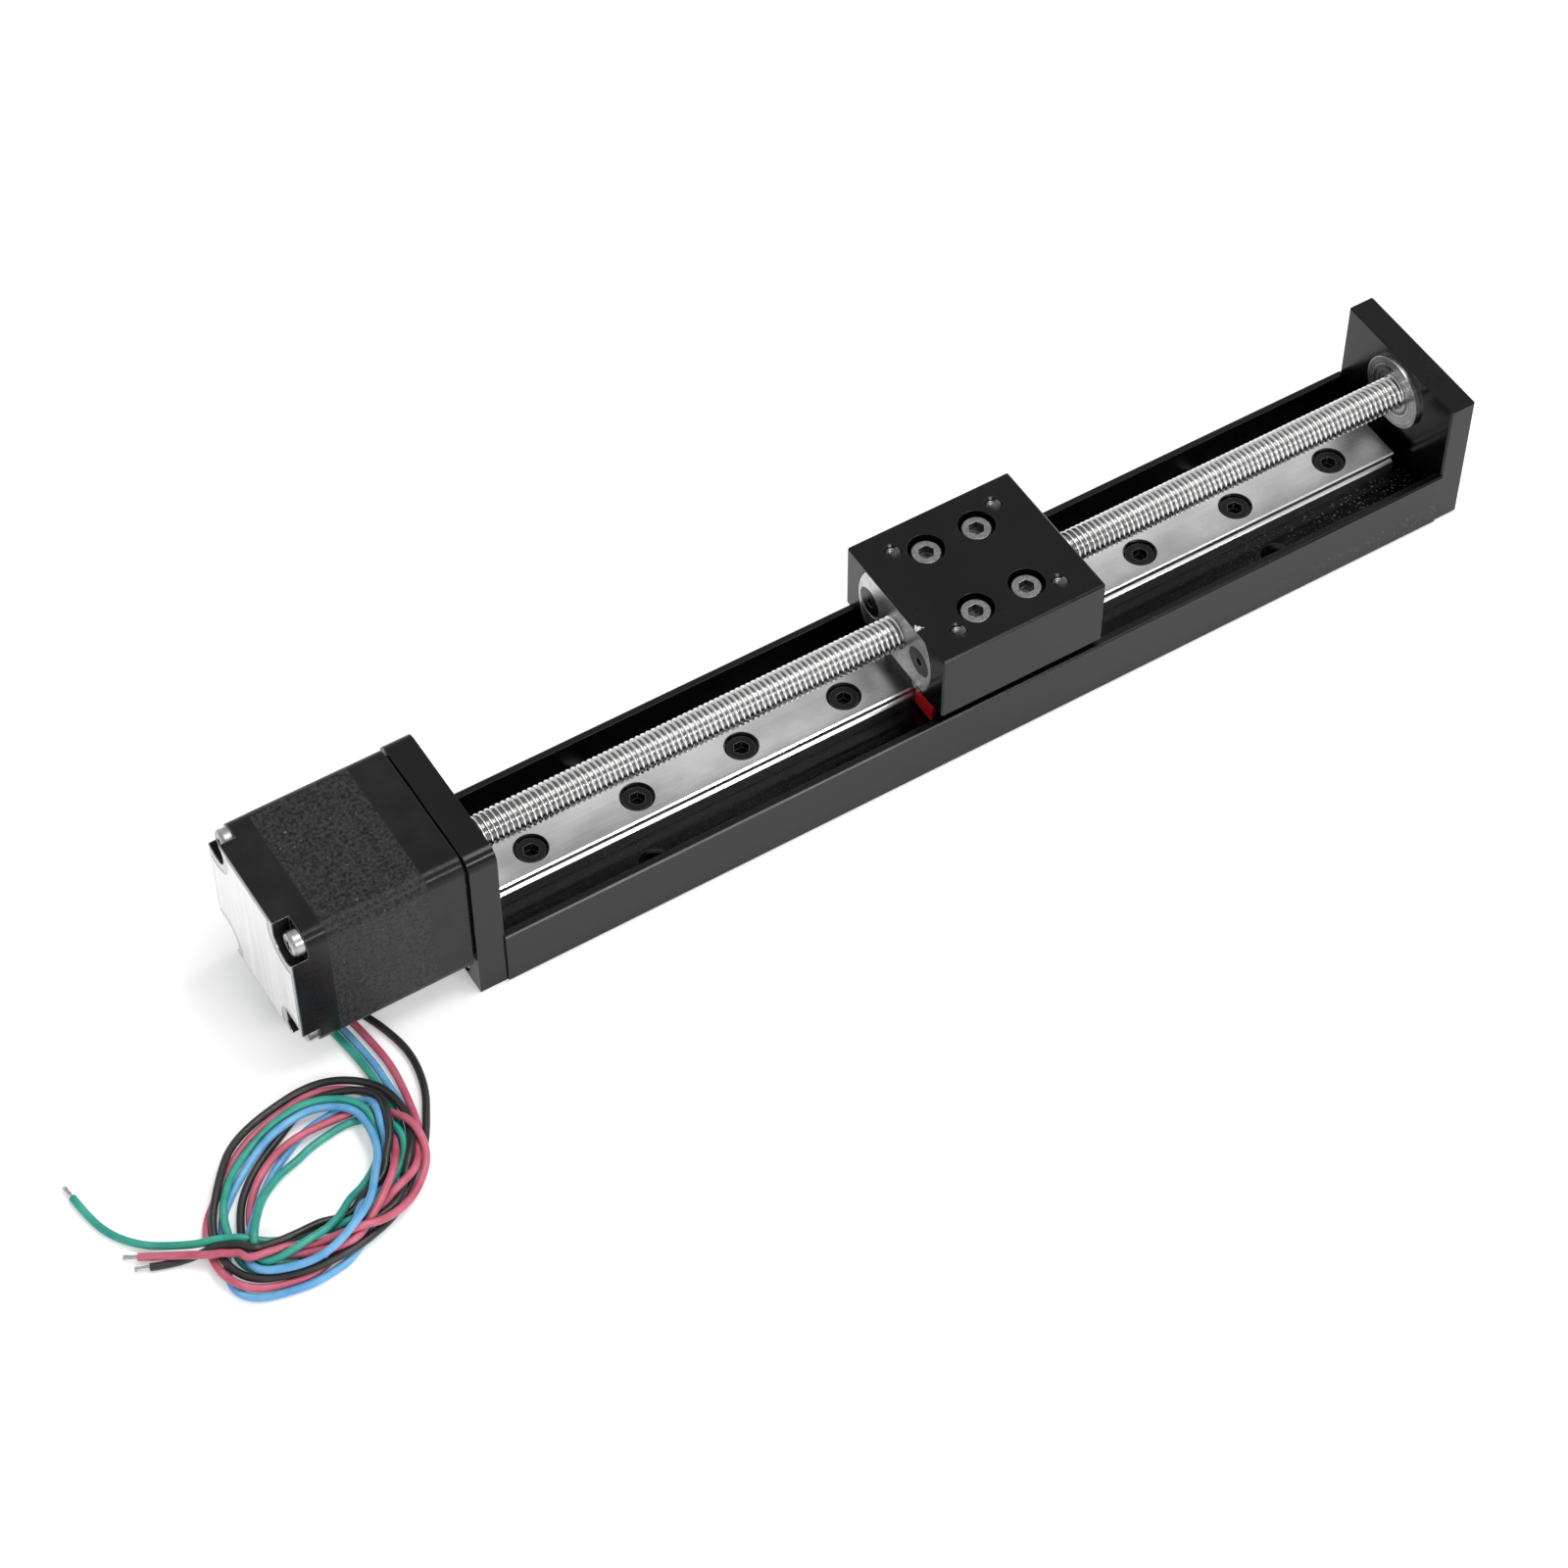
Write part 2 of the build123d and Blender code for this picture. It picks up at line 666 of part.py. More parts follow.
with BuildPart() as lead_nut:
    with BuildSketch(across(carriage_near_face)):
        Circle(nut_flange_diameter / 2)
        Rectangle(nut_flange_diameter, nut_flange_height, mode=Mode.INTERSECT)
    extrude(amount=nut_flange_thickness)
    with BuildSketch(across(carriage_near_face)):
        Circle(nut_barrel_diameter / 2)
    extrude(amount=nut_flange_thickness + nut_barrel_length)
    with BuildSketch(across(carriage_near_face)):
        Circle(screw_diameter / 2 + screw_running_clearance)
    extrude(amount=nut_flange_thickness + nut_barrel_length, mode=Mode.SUBTRACT)
    with BuildSketch(across(carriage_near_face)):
        with GridLocations(nut_screw_spacing, 0, 2, 1):
            Circle(m3_hole_diameter / 2)
    extrude(amount=nut_flange_thickness, mode=Mode.SUBTRACT)
    with Locations(across(carriage_near_face)):
        with GridLocations(nut_screw_spacing, 0, 2, 1):
            Cone(
                nut_screw_head_diameter / 2 + nut_pocket_clearance,
                m3_hole_diameter / 2,
                nut_screw_head_depth + nut_pocket_clearance,
                align=(Align.CENTER, Align.CENTER, Align.MIN),
                mode=Mode.SUBTRACT,
            )
save(lead_nut.part, "lead_nut")

nut_face = Plane(
    origin=(carriage_near_face, 0, screw_axis_height), x_dir=(0, 1, 0), z_dir=(-1, 0, 0)
)
with BuildPart() as nut_screw:
    with BuildSketch(Plane.XZ):
        with BuildLine():
            Polyline(
                (0, 0),
                (nut_screw_head_diameter / 2, 0),
                (m3_core / 2 - thread_play, -nut_screw_head_depth),
                (m3_core / 2 - thread_play, -nut_screw_length),
                (0, -nut_screw_length),
                close=True,
            )
        make_face()
    revolve(axis=Axis.Z)
    with BuildSketch():
        RegularPolygon(radius=m2_hexagon / 2, side_count=6, major_radius=False)
    extrude(amount=-m2_hexagon_depth, mode=Mode.SUBTRACT)
with BuildPart(nut_face) as nut_screws:
    with GridLocations(nut_screw_spacing, 0, 2, 1):
        add(nut_screw.part)
save(nut_screws.part, "nut_screws")


# Lead screw: one shaft from the motor's rear bearing to the far plate

screw_thread_near = front_bearing_near + motor_bearing_width
with BuildPart() as lead_screw:
    with BuildSketch(across(rear_bearing_near)):
        Circle(journal_diameter / 2 - seat_clearance)
    extrude(amount=screw_thread_near - rear_bearing_near)
    with BuildSketch(across(screw_thread_near)):
        Circle(screw_diameter / 2)
    extrude(amount=end_bearing_near - screw_thread_near)
    with BuildSketch(across(end_bearing_near)):
        Circle(end_bearing_bore / 2 - seat_clearance)
    extrude(amount=end_plate_outside - screw_end_inset - end_bearing_near)
    shaft_ends = lead_screw.edges().filter_by(GeomType.CIRCLE)
    chamfer([shaft_ends.sort_by(Axis.X)[0], shaft_ends.sort_by(Axis.X)[-1]], screw_end_chamfer)
save(lead_screw.part, "lead_screw")


# Flanged end bearing

ball_bearing(
    "end_bearing",
    end_bearing_near,
    end_bearing_bore,
    end_bearing_outside,
    end_bearing_width,
    end_bearing_ball,
    end_bearing_pitch,
    end_bearing_ball_count,
    end_bearing_flange,
    end_bearing_flange_thickness,
)


# Motor bearings and the wave washer that preloads them

for bearing_name, bearing_near in (
    ("front_bearing", front_bearing_near),
    ("rear_bearing", rear_bearing_near),
):
    ball_bearing(
        bearing_name,
        bearing_near,
        journal_diameter,
        motor_bearing_outside,
        motor_bearing_width,
        motor_bearing_ball,
        motor_bearing_pitch,
        motor_bearing_ball_count,
    )

with BuildPart() as wave_washer:
    with BuildSketch(across(rear_bearing_near)):
        Circle(motor_bearing_outside / 2)
        Circle((motor_bearing_outside + motor_bearing_pitch) / 4, mode=Mode.SUBTRACT)
    extrude(amount=-washer_thickness)
save(wave_washer.part, "wave_washer")


# Motor housing: front cap, laminated stator and rear cap

with BuildPart() as motor_front_cap:
    with BuildSketch(across(stator_front)):
        RectangleRounded(motor_size, motor_size, motor_corner_radius)
    extrude(amount=front_cap_length - motor_gap)
    with BuildSketch(across(motor_face)):
        RectangleRounded(
            motor_size - 2 * motor_land_inset, motor_size - 2 * motor_land_inset, motor_corner_radius
        )
    extrude(amount=-motor_gap)
    with BuildSketch(across(motor_face)):
        Circle(pilot_diameter / 2)
    extrude(amount=pilot_length)
    with BuildSketch(across(stator_front)):
        Circle(cap_cavity_diameter / 2)
    extrude(amount=cap_cavity_depth, mode=Mode.SUBTRACT)
    with BuildSketch(across(stator_front)):
        Circle(motor_bearing_outside / 2 + seat_clearance)
    extrude(amount=cap_cavity_depth + motor_bearing_width, mode=Mode.SUBTRACT)
    with BuildSketch(across(stator_front)):
        Circle(motor_passage_diameter / 2)
    extrude(amount=front_cap_length + pilot_length, mode=Mode.SUBTRACT)
    with BuildSketch(across(motor_face)):
        with GridLocations(motor_hole_spacing, motor_hole_spacing, 2, 2):
            Circle(m25_core / 2)
    extrude(amount=-motor_thread_depth, mode=Mode.SUBTRACT)
save(motor_front_cap.part, "motor_front_cap")

stator_length = stator_front - stator_rear
with BuildPart() as motor_stator:
    with BuildSketch(across(stator_rear)):
        RectangleRounded(motor_size, motor_size, motor_corner_radius)
        Circle(yoke_bore / 2, mode=Mode.SUBTRACT)
        with PolarLocations(0, pole_count):
            with Locations(((yoke_bore + pole_bore) / 4, 0)):
                Rectangle((yoke_bore - pole_bore) / 2 + pole_width / 2, pole_width)
        Circle(pole_bore / 2, mode=Mode.SUBTRACT)
        with GridLocations(motor_hole_spacing, motor_hole_spacing, 2, 2):
            Circle(rear_screw_shank / 2 + head_clearance, mode=Mode.SUBTRACT)
    extrude(amount=stator_length)
save(motor_stator.part, "motor_stator")

with BuildPart() as motor_rear_cap:
    with BuildSketch(across(motor_rear)):
        RectangleRounded(motor_size, motor_size, motor_corner_radius)
    extrude(amount=rear_cap_length)
    with BuildSketch(across(motor_rear)):
        with GridLocations(motor_hole_spacing, motor_hole_spacing, 2, 2):
            Circle(screw_notch_radius)
            Rectangle(screw_notch_radius, screw_notch_radius, align=(Align.MIN, Align.MIN))
    extrude(amount=screw_notch_depth, mode=Mode.SUBTRACT)
    with BuildSketch(across(stator_rear)):
        Circle(cap_cavity_diameter / 2)
    extrude(amount=-cap_cavity_depth, mode=Mode.SUBTRACT)
    with BuildSketch(across(stator_rear)):
        Circle(motor_bearing_outside / 2 + seat_clearance)
    extrude(
        amount=-(cap_cavity_depth + motor_bearing_width + washer_thickness), mode=Mode.SUBTRACT
    )
    with BuildSketch(across(motor_rear)):
        with GridLocations(motor_hole_spacing, motor_hole_spacing, 2, 2):
            Circle(rear_screw_shank / 2 + head_clearance)
    extrude(amount=rear_cap_length, mode=Mode.SUBTRACT)
    with BuildSketch(Plane.XY.offset(motor_underside)):
        with Locations((stator_rear, lead_exit_y)):
            Rectangle(grommet_length, grommet_width, align=(Align.MAX, Align.CENTER))
    extrude(amount=grommet_depth, mode=Mode.SUBTRACT)
save(motor_rear_cap.part, "motor_rear_cap")

with BuildPart() as lead_grommet:
    with BuildSketch(Plane.XY.offset(motor_underside)):
        with Locations((stator_rear, lead_exit_y)):
            Rectangle(grommet_length, grommet_width, align=(Align.MAX, Align.CENTER))
    extrude(amount=grommet_depth - cap_cavity_depth / 2)
save(lead_grommet.part, "lead_grommet")


# Windings, one coil round each pole

with BuildPart() as pole_winding:
    with BuildSketch(Plane.YZ):
        Rectangle(
            pole_width + 2 * (winding_pole_gap + winding_thickness),
            stator_length + 2 * winding_overhang,
        )
        Rectangle(
            pole_width + 2 * winding_pole_gap,
            stator_length + 2 * (winding_overhang - winding_thickness),
            mode=Mode.SUBTRACT,
        )
    extrude(amount=(yoke_bore - pole_bore) / 4)
stator_middle = Plane(
    origin=((stator_front + stator_rear) / 2, 0, screw_axis_height), x_dir=(0, 1, 0), z_dir=(1, 0, 0)
)
with BuildPart(stator_middle) as motor_windings:
    with PolarLocations(pole_bore / 2 + winding_thickness / 2, pole_count):
        add(pole_winding.part)
save(motor_windings.part, "motor_windings")


# Rotor: two toothed cups with the magnet between them

rotor_middle = (stator_front + stator_rear) / 2
with BuildPart() as rotor_cups:
    with BuildSketch(across(rotor_middle + magnet_length / 2)):
        Circle(rotor_diameter / 2)
        Circle(journal_diameter / 2, mode=Mode.SUBTRACT)
    extrude(amount=rotor_cup_length)
    with BuildSketch(across(rotor_middle - magnet_length / 2)):
        Circle(rotor_diameter / 2)
        Circle(journal_diameter / 2, mode=Mode.SUBTRACT)
    extrude(amount=-rotor_cup_length)
save(rotor_cups.part, "rotor_cups")

with BuildPart() as rotor_magnet:
    with BuildSketch(across(rotor_middle - magnet_length / 2)):
        Circle(magnet_diameter / 2)
        Circle(journal_diameter / 2, mode=Mode.SUBTRACT)
    extrude(amount=magnet_length)
save(rotor_magnet.part, "rotor_magnet")


# Long screws that hold the motor together

rear_screw_seat = motor_rear + screw_notch_depth
with BuildPart() as rear_screw:
    with BuildSketch():
        Circle(rear_screw_head_diameter / 2)
    extrude(amount=rear_screw_head_height)
    fillet(rear_screw.edges().sort_by(Axis.Z)[-1], rear_screw_dome)
    with BuildSketch(Plane.XY.offset(rear_screw_head_height)):
        Rectangle(rear_screw_cross_length, rear_screw_cross_width)
        Rectangle(rear_screw_cross_width, rear_screw_cross_length)
    extrude(amount=-rear_screw_cross_depth, mode=Mode.SUBTRACT)
    with BuildSketch():
        Circle(rear_screw_shank / 2 - thread_play)
    extrude(amount=-(stator_front - rear_screw_seat))
rear_seat_plane = Plane(
    origin=(rear_screw_seat, 0, screw_axis_height), x_dir=(0, 1, 0), z_dir=(-1, 0, 0)
)
with BuildPart(rear_seat_plane) as motor_screws:
    with GridLocations(motor_hole_spacing, motor_hole_spacing, 2, 2):
        add(rear_screw.part)
save(motor_screws.part, "motor_screws")


# Motor leads: four wires that leave the rear cap, lie in one loose coil and end bare

def lead_tube(route):
    """A wire along straight runs that are joined by tangent arcs as large as the runs allow."""
    points = [Vector(*point) for point in route]
    runs = [b - a for a, b in zip(points, points[1:])]
    radii = []
    for before, after in zip(runs, runs[1:]):
        half_turn = math.radians(before.get_angle(after)) / 2
        shorter = min(before.length, after.length)
        radii.append(arc_share * shorter / math.tan(half_turn))
    with BuildPart() as tube:
        with BuildLine() as path:
            FilletPolyline(*points, radius=radii)
        with BuildSketch(Plane(origin=points[0], z_dir=runs[0])):
            Circle(lead_diameter / 2)
        sweep(path=path.line)
    section = math.pi * lead_diameter**2 / 4
    share = tube.part.volume / (section * path.wires()[0].length)
    print("radii", [round(radius, 1) for radius in radii], "volume share", round(share, 3))
    return tube.part


def lead_tip(route):
    """The stripped and tinned end of a wire."""
    last = Vector(*route[-1])
    with BuildPart() as tip:
        with BuildSketch(Plane(origin=last, z_dir=last - Vector(*route[-2]))):
            Circle(tip_diameter / 2)
        extrude(amount=tip_length)
    return tip.part


lead_routes = {
    "lead_green": [
        (-127.6, 6.0, 6.0),
        (-127.6, 6.0, 3.2),
        (-126.6, 3.6, 0.7),
        (-124.9, -0.9, 0.7),
        (-122.4, -7.0, 0.7),
        (-121.4, -13.2, 0.7),
        (-120.8, -18.6, 0.8),
        (-121.6, -24.0, 1.4),
    ],
    "lead_blue": [
        (-126.1, 6.0, 6.0),
        (-126.1, 6.0, 3.2),
        (-125.1, 3.6, 0.7),
        (-123.4, -0.9, 0.7),
        (-120.9, -7.0, 0.7),
        (-119.9, -13.4, 0.7),
        (-119.3, -18.8, 0.8),
        (-120.2, -24.4, 1.4),
    ],
    "lead_red": [
        (-124.6, 6.0, 6.0),
        (-124.6, 6.0, 3.2),
        (-123.6, 3.6, 0.7),
        (-121.9, -0.9, 0.7),
        (-118.9, -7.0, 0.7),
        (-117.8, -13.7, 0.7),
        (-117.2, -19.8, 0.7),
        (-118.0, -25.4, 0.9),
        (-120.6, -30.0, 1.4),
    ],
    "lead_black": [
        (-123.1, 6.0, 6.0),
        (-123.1, 6.0, 3.2),
        (-122.1, 3.6, 0.7),
        (-120.4, -0.9, 0.7),
        (-117.0, -7.2, 0.7),
        (-114.6, -13.4, 0.7),
        (-113.4, -19.6, 0.7),
        (-114.4, -25.8, 0.7),
        (-117.6, -31.2, 0.9),
        (-121.8, -35.2, 1.4),
    ],
}
tail_routes = {
    "tail_green": [
        (-152.6, -37.6, 2.7),
        (-157.0, -35.4, 2.4),
        (-161.6, -32.4, 2.0),
        (-165.4, -29.4, 1.0),
        (-168.6, -25.4, 0.7),
        (-170.6, -20.4, 0.7),
        (-171.3, -14.8, 0.7),
    ],
    "tail_red": [
        (-153.0, -38.9, 2.7),
        (-157.2, -37.0, 2.4),
        (-161.6, -34.5, 2.2),
        (-164.8, -32.2, 1.3),
        (-167.2, -30.6, 1.0),
    ],
    "tail_black": [
        (-154.0, -36.6, 0.9),
        (-157.4, -35.4, 0.8),
        (-161.3, -34.7, 0.7),
        (-164.2, -33.9, 0.7),
        (-166.4, -33.0, 0.7),
    ],
}
for lead_name, lead_route in (lead_routes | tail_routes).items():
    save(lead_tube(lead_route), lead_name)

with BuildPart() as lead_tips:
    for tail_route in tail_routes.values():
        add(lead_tip(tail_route))
save(lead_tips.part, "lead_tips")

with BuildPart() as lead_coil:
    with BuildSketch():
        with Locations(Location((*coil_centre, 0), (0, 0, coil_turn))):
            Ellipse(*coil_outer)
            Ellipse(*coil_inner, mode=Mode.SUBTRACT)
    extrude(amount=coil_height)
    fillet(lead_coil.edges().group_by(Axis.Z)[-1], coil_edge_radius)
save(lead_coil.part, "lead_coil")
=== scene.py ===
import math

import bmesh
import bpy
import numpy as np
from mathutils import Matrix, Vector


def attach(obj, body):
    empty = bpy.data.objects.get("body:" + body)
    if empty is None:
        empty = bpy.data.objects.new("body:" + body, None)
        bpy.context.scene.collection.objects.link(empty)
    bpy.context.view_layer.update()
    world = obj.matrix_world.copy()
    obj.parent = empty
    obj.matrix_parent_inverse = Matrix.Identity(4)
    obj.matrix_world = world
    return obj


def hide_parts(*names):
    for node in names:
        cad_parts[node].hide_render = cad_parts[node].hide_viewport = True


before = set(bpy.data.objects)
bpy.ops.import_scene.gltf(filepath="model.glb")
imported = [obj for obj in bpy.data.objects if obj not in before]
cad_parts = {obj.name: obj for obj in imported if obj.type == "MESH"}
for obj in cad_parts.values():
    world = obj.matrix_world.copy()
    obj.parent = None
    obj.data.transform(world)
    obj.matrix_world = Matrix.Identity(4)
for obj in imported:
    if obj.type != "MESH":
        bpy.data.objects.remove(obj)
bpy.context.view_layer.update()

# Room: the slide stands on a white table under one large soft lamp overhead and a long
# one at the front right. The camera looks down over its motor end.

camera_place = Vector((-0.2587, -0.3696, 0.5548))
camera_aim = Vector((-0.0384, -0.0108, 0.010))
camera_roll = math.radians(-0.24)
focal_length = 96.4
table_half = 3.0
table_drop = 0.0001
table_white = 0.93
table_lift = 0.30
sky_light = 0.62
sky_shown = 1.0

camera_data = bpy.data.cameras.new("camera")
camera_data.lens = focal_length
camera_data.sensor_width = 36.0
camera_data.clip_end = 20.0
camera = bpy.data.objects.new("camera", camera_data)
bpy.context.scene.collection.objects.link(camera)
looking = (camera_aim - camera_place).to_track_quat("-Z", "Y").to_matrix()
camera.matrix_world = Matrix.Translation(camera_place) @ (
    looking @ Matrix.Rotation(camera_roll, 3, "Z")
).to_4x4()
bpy.context.scene.camera = camera
bpy.context.scene.view_settings.view_transform = "Standard"


def put(tree, kind, *values, **named):
    """A node of that kind. Its inputs, in order or by name, take a number, a colour or an output."""
    node = tree.nodes.new("ShaderNode" + kind)
    for key, value in [*enumerate(values), *named.items()]:
        socket = node.inputs[key.replace("_", " ") if isinstance(key, str) else key]
        if isinstance(value, bpy.types.NodeSocket):
            tree.links.new(value, socket)
        elif value is not None:
            socket.default_value = value
    return node


def finish(name, colour, metal=0.0, rough=0.5, specular=0.5):
    """A new finish with its plain numbers on the shader itself, its node tree and its shader."""
    material = bpy.data.materials.new(name)
    material.use_nodes = True
    shader = material.node_tree.nodes["Principled BSDF"]
    shader.inputs["Base Color"].default_value = (*colour, 1.0)
    shader.inputs["Metallic"].default_value = metal
    shader.inputs["Roughness"].default_value = rough
    shader.inputs["Specular IOR Level"].default_value = specular
    return material, material.node_tree, shader


def piece(name, mesh, material):
    """A new object with that mesh or curve and material."""
    made = bpy.data.objects.new(name, mesh)
    mesh.materials.append(material)
    bpy.context.scene.collection.objects.link(made)
    return made


corners = [(-table_half, -table_half, 0), (table_half, -table_half, 0)]
corners += [(table_half, table_half, 0), (-table_half, table_half, 0)]
table_mesh = bpy.data.meshes.new("table_top")
table_mesh.from_pydata(corners, [], [(0, 1, 2, 3)])
white_paint, tree, shader = finish("white_paint", (table_white,) * 3, rough=0.9, specular=0.0)
rays = put(tree, "LightPath").outputs
seen = put(tree, "Math", rays["Is Camera Ray"], rays["Is Glossy Ray"])
seen.operation = "MAXIMUM"
lift = put(tree, "MapRange", seen.outputs[0], 0.0, 1.0, 0.0, table_lift)
shader.inputs["Emission Color"].default_value = (1.0, 1.0, 1.0, 1.0)
tree.links.new(lift.outputs[0], shader.inputs["Emission Strength"])
table_top = piece("table_top", table_mesh, white_paint)
table_top.location.z = -table_drop

room = bpy.data.worlds.new("room")
bpy.context.scene.world = room
room.use_nodes = True
tree = room.node_tree
background = tree.nodes["Background"]
background.inputs["Color"].default_value = (1.0, 1.0, 1.0, 1.0)
seen = put(tree, "LightPath").outputs["Is Camera Ray"]
shown = put(tree, "MapRange", seen, 0.0, 1.0, sky_light, sky_shown)
tree.links.new(shown.outputs[0], background.inputs["Strength"])


def soft_lamp(name, place, width, height, power):
    """A large soft panel lamp turned to the middle of the slide."""
    lamp_data = bpy.data.lights.new(name, "AREA")
    lamp_data.shape = "RECTANGLE"
    lamp_data.size = width
    lamp_data.size_y = height
    lamp_data.energy = power
    lamp = bpy.data.objects.new(name, lamp_data)
    lamp.location = place
    lamp.rotation_mode = "QUATERNION"
    lamp.rotation_quaternion = Vector(place).to_track_quat("Z", "Y")
    bpy.context.scene.collection.objects.link(lamp)


soft_lamp("overhead_lamp", place=(0.34, -0.10, 1.15), width=0.60, height=0.40, power=6.0)
soft_lamp("front_lamp", place=(0.12, -0.85, 0.555), width=0.48, height=0.13, power=3.0)

# Base profile and plates: an extruded aluminium channel, sawn to length, and two plates
# milled from bar, all black anodised. Handling has rubbed their edges a little lighter.

anodised_low, anodised_high = 0.0014, 0.0034
rubbed_edge = (0.11, 0.11, 0.108, 1.0)
dust_colour = (0.16, 0.16, 0.155, 1.0)
edge_reach = 0.00014
floor_height = 0.0045
swarf_begins, swarf_full = 0.05, 0.09


def grain(tree, scale, stretch=(1.0, 1.0, 1.0), detail=3.0):
    """Noise that is fixed to the piece: scale grains per metre, drawn out along an axis by stretch."""
    place = put(tree, "TexCoord").outputs["Object"]
    drawn = put(tree, "Mapping", Vector=place, Scale=stretch).outputs[0]
    return put(tree, "TexNoise", Vector=drawn, Scale=scale, Detail=detail).outputs[0]


def spread(tree, value, low, high, new_low, new_high):
    """The value from low to high, carried over to new_low to new_high."""
    return put(tree, "MapRange", value, low, high, new_low, new_high).outputs[0]


def sums(tree, how, first, second):
    """One sum on two numbers."""
    node = put(tree, "Math", first, second)
    node.operation = how
    return node.outputs[0]


def mixed(tree, share, first, second):
    """Two colours mixed by a share from 0 to 1."""
    node = tree.nodes.new("ShaderNodeMix")
    node.data_type = "RGBA"
    for socket, value in ((node.inputs[0], share), (node.inputs[6], first), (node.inputs[7], second)):
        if isinstance(value, bpy.types.NodeSocket):
            tree.links.new(value, socket)
        else:
            socket.default_value = value
    return node.outputs[2]


def grey(tree, value, low, high, dark, light):
    """A grey between dark and light that follows the value."""
    level = spread(tree, value, low, high, dark, light)
    return put(tree, "CombineColor", level, level, level).outputs[0]


def broken_edges(tree, reach):
    """The normal as if each edge were broken by reach."""
    bevel = put(tree, "Bevel", reach)
    bevel.samples = 6
    return bevel.outputs[0]


def near_edges(tree, rounded):
    """From 0 on a flat to 1 on an edge, by how far the broken edge's normal leans."""
    flat = put(tree, "NewGeometry").outputs["Normal"]
    lean = put(tree, "VectorMath", rounded, flat)
    lean.operation = "DOT_PRODUCT"
    return spread(tree, lean.outputs["Value"], 0.995, 0.86, 0.0, 1.0)


def bumped(tree, shader, height, depth, normal=None):
    """Relief of that depth, in metres, on the shader."""
    bump = put(tree, "Bump", Distance=depth, Height=height, Normal=normal)
    tree.links.new(bump.outputs[0], shader.inputs["Normal"])


def anodised(name, stretch, line_depth, swarf):
    """Black anodised aluminium, with tool or die lines along one axis and dust where swarf lies."""
    material, tree, shader = finish(name, (anodised_low,) * 3, rough=0.2, specular=0.27)
    lines = grain(tree, 3000.0, stretch)
    smears = grain(tree, 55.0, detail=5.0)
    specks = grain(tree, 2600.0, detail=1.0)
    rounded = broken_edges(tree, edge_reach)
    black = grey(tree, smears, 0.3, 0.7, anodised_low, anodised_high)
    patchy = spread(tree, grain(tree, 300.0), 0.35, 0.65, 0.0, 0.55)
    rubbed = mixed(tree, sums(tree, "MULTIPLY", near_edges(tree, rounded), patchy), black, rubbed_edge)
    dust = sums(tree, "MULTIPLY", spread(tree, specks, 0.66, 0.71, 0.0, 0.8), swarf(tree))
    tree.links.new(mixed(tree, dust, rubbed, dust_colour), shader.inputs["Base Color"])
    fine = spread(tree, lines, 0.3, 0.7, -0.03, 0.03)
    broad = spread(tree, smears, 0.3, 0.7, 0.15, 0.25)
    tree.links.new(sums(tree, "ADD", fine, broad), shader.inputs["Roughness"])
    bumped(tree, shader, lines, line_depth, rounded)
    return material


def coat(material, *nodes):
    """Gives those CAD nodes the material."""
    for node in nodes:
        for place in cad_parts[node].material_slots:
            place.material = material


def channel_dust(tree):
    """The channel's floor, most of all at its far end, where the swarf of assembly gathers."""
    place = put(tree, "SeparateXYZ", put(tree, "TexCoord").outputs["Object"])
    on_floor = spread(tree, place.outputs[2], floor_height + 0.0007, floor_height + 0.0002, 0.0, 1.0)
    towards_end = spread(tree, place.outputs[0], swarf_begins, swarf_full, 0.15, 1.6)
    return sums(tree, "MULTIPLY", on_floor, towards_end)


def stray_dust(tree):
    """Hardly any dust, in a few loose patches."""
    return spread(tree, grain(tree, 120.0), 0.55, 0.75, 0.0, 0.2)


extruded_black = anodised("extruded_black", (0.012, 1.0, 1.0), 0.000005, swarf=channel_dust)
milled_black = anodised("milled_black", (1.0, 1.0, 0.02), 0.000004, swarf=stray_dust)
coat(extruded_black, "base_profile")
coat(milled_black, "motor_plate", "end_plate")

# Screws of the plates, the rail, the nut, the guide block and the motor: steel, black-oxide or
# zinc-plated, most with a recess pressed in the head, and covered by a thin film of oil.

oxide_low, oxide_high = 0.003, 0.009
wear_and_glint_grey = (0.30, 0.30, 0.30, 1.0)
zinc_low, zinc_high = 0.34, 0.56

black_oxide, tree, shader = finish("black_oxide", (oxide_low,) * 3, rough=0.22, specular=0.28)
rounded = broken_edges(tree, 0.00016)
scratches = grain(tree, 1400.0, (1.0, 0.12, 1.0), detail=4.0)
blued = grey(tree, scratches, 0.3, 0.7, oxide_low, oxide_high)
# All their edges are painted a lighter grey: partly wear, partly a painted highlight for the glints on
# the rims.
wear_and_glint = spread(tree, near_edges(tree, rounded), 0.0, 1.0, 0.0, 0.9)
oxide_with_wear_and_glints = mixed(tree, wear_and_glint, blued, wear_and_glint_grey)
tree.links.new(oxide_with_wear_and_glints, shader.inputs["Base Color"])
tree.links.new(spread(tree, scratches, 0.3, 0.7, 0.16, 0.28), shader.inputs["Roughness"])
bumped(tree, shader, grain(tree, 5200.0), 0.000006, rounded)

zinc_plate, tree, shader = finish("zinc_plate", (zinc_high,) * 3, metal=1.0, rough=0.3)
rounded = broken_edges(tree, 0.00010)
passivated = grain(tree, 900.0, detail=5.0)
tree.links.new(grey(tree, passivated, 0.3, 0.7, zinc_low, zinc_high), shader.inputs["Base Color"])
tree.links.new(spread(tree, passivated, 0.3, 0.7, 0.40, 0.24), shader.inputs["Roughness"])
bumped(tree, shader, grain(tree, 4000.0), 0.000012, rounded)

coat(black_oxide, "end_plate_screws", "motor_mount_screws", "rail_screws", "nut_screws")
coat(zinc_plate, "motor_plate_screws", "block_end_screws", "motor_screws")

# Guide rail and block: hardened steel, ground lengthwise, so the top shines with faint
# lines and a few oily smears. The balls run in the rail's side grooves.

steel_low, steel_high = 0.60, 0.90

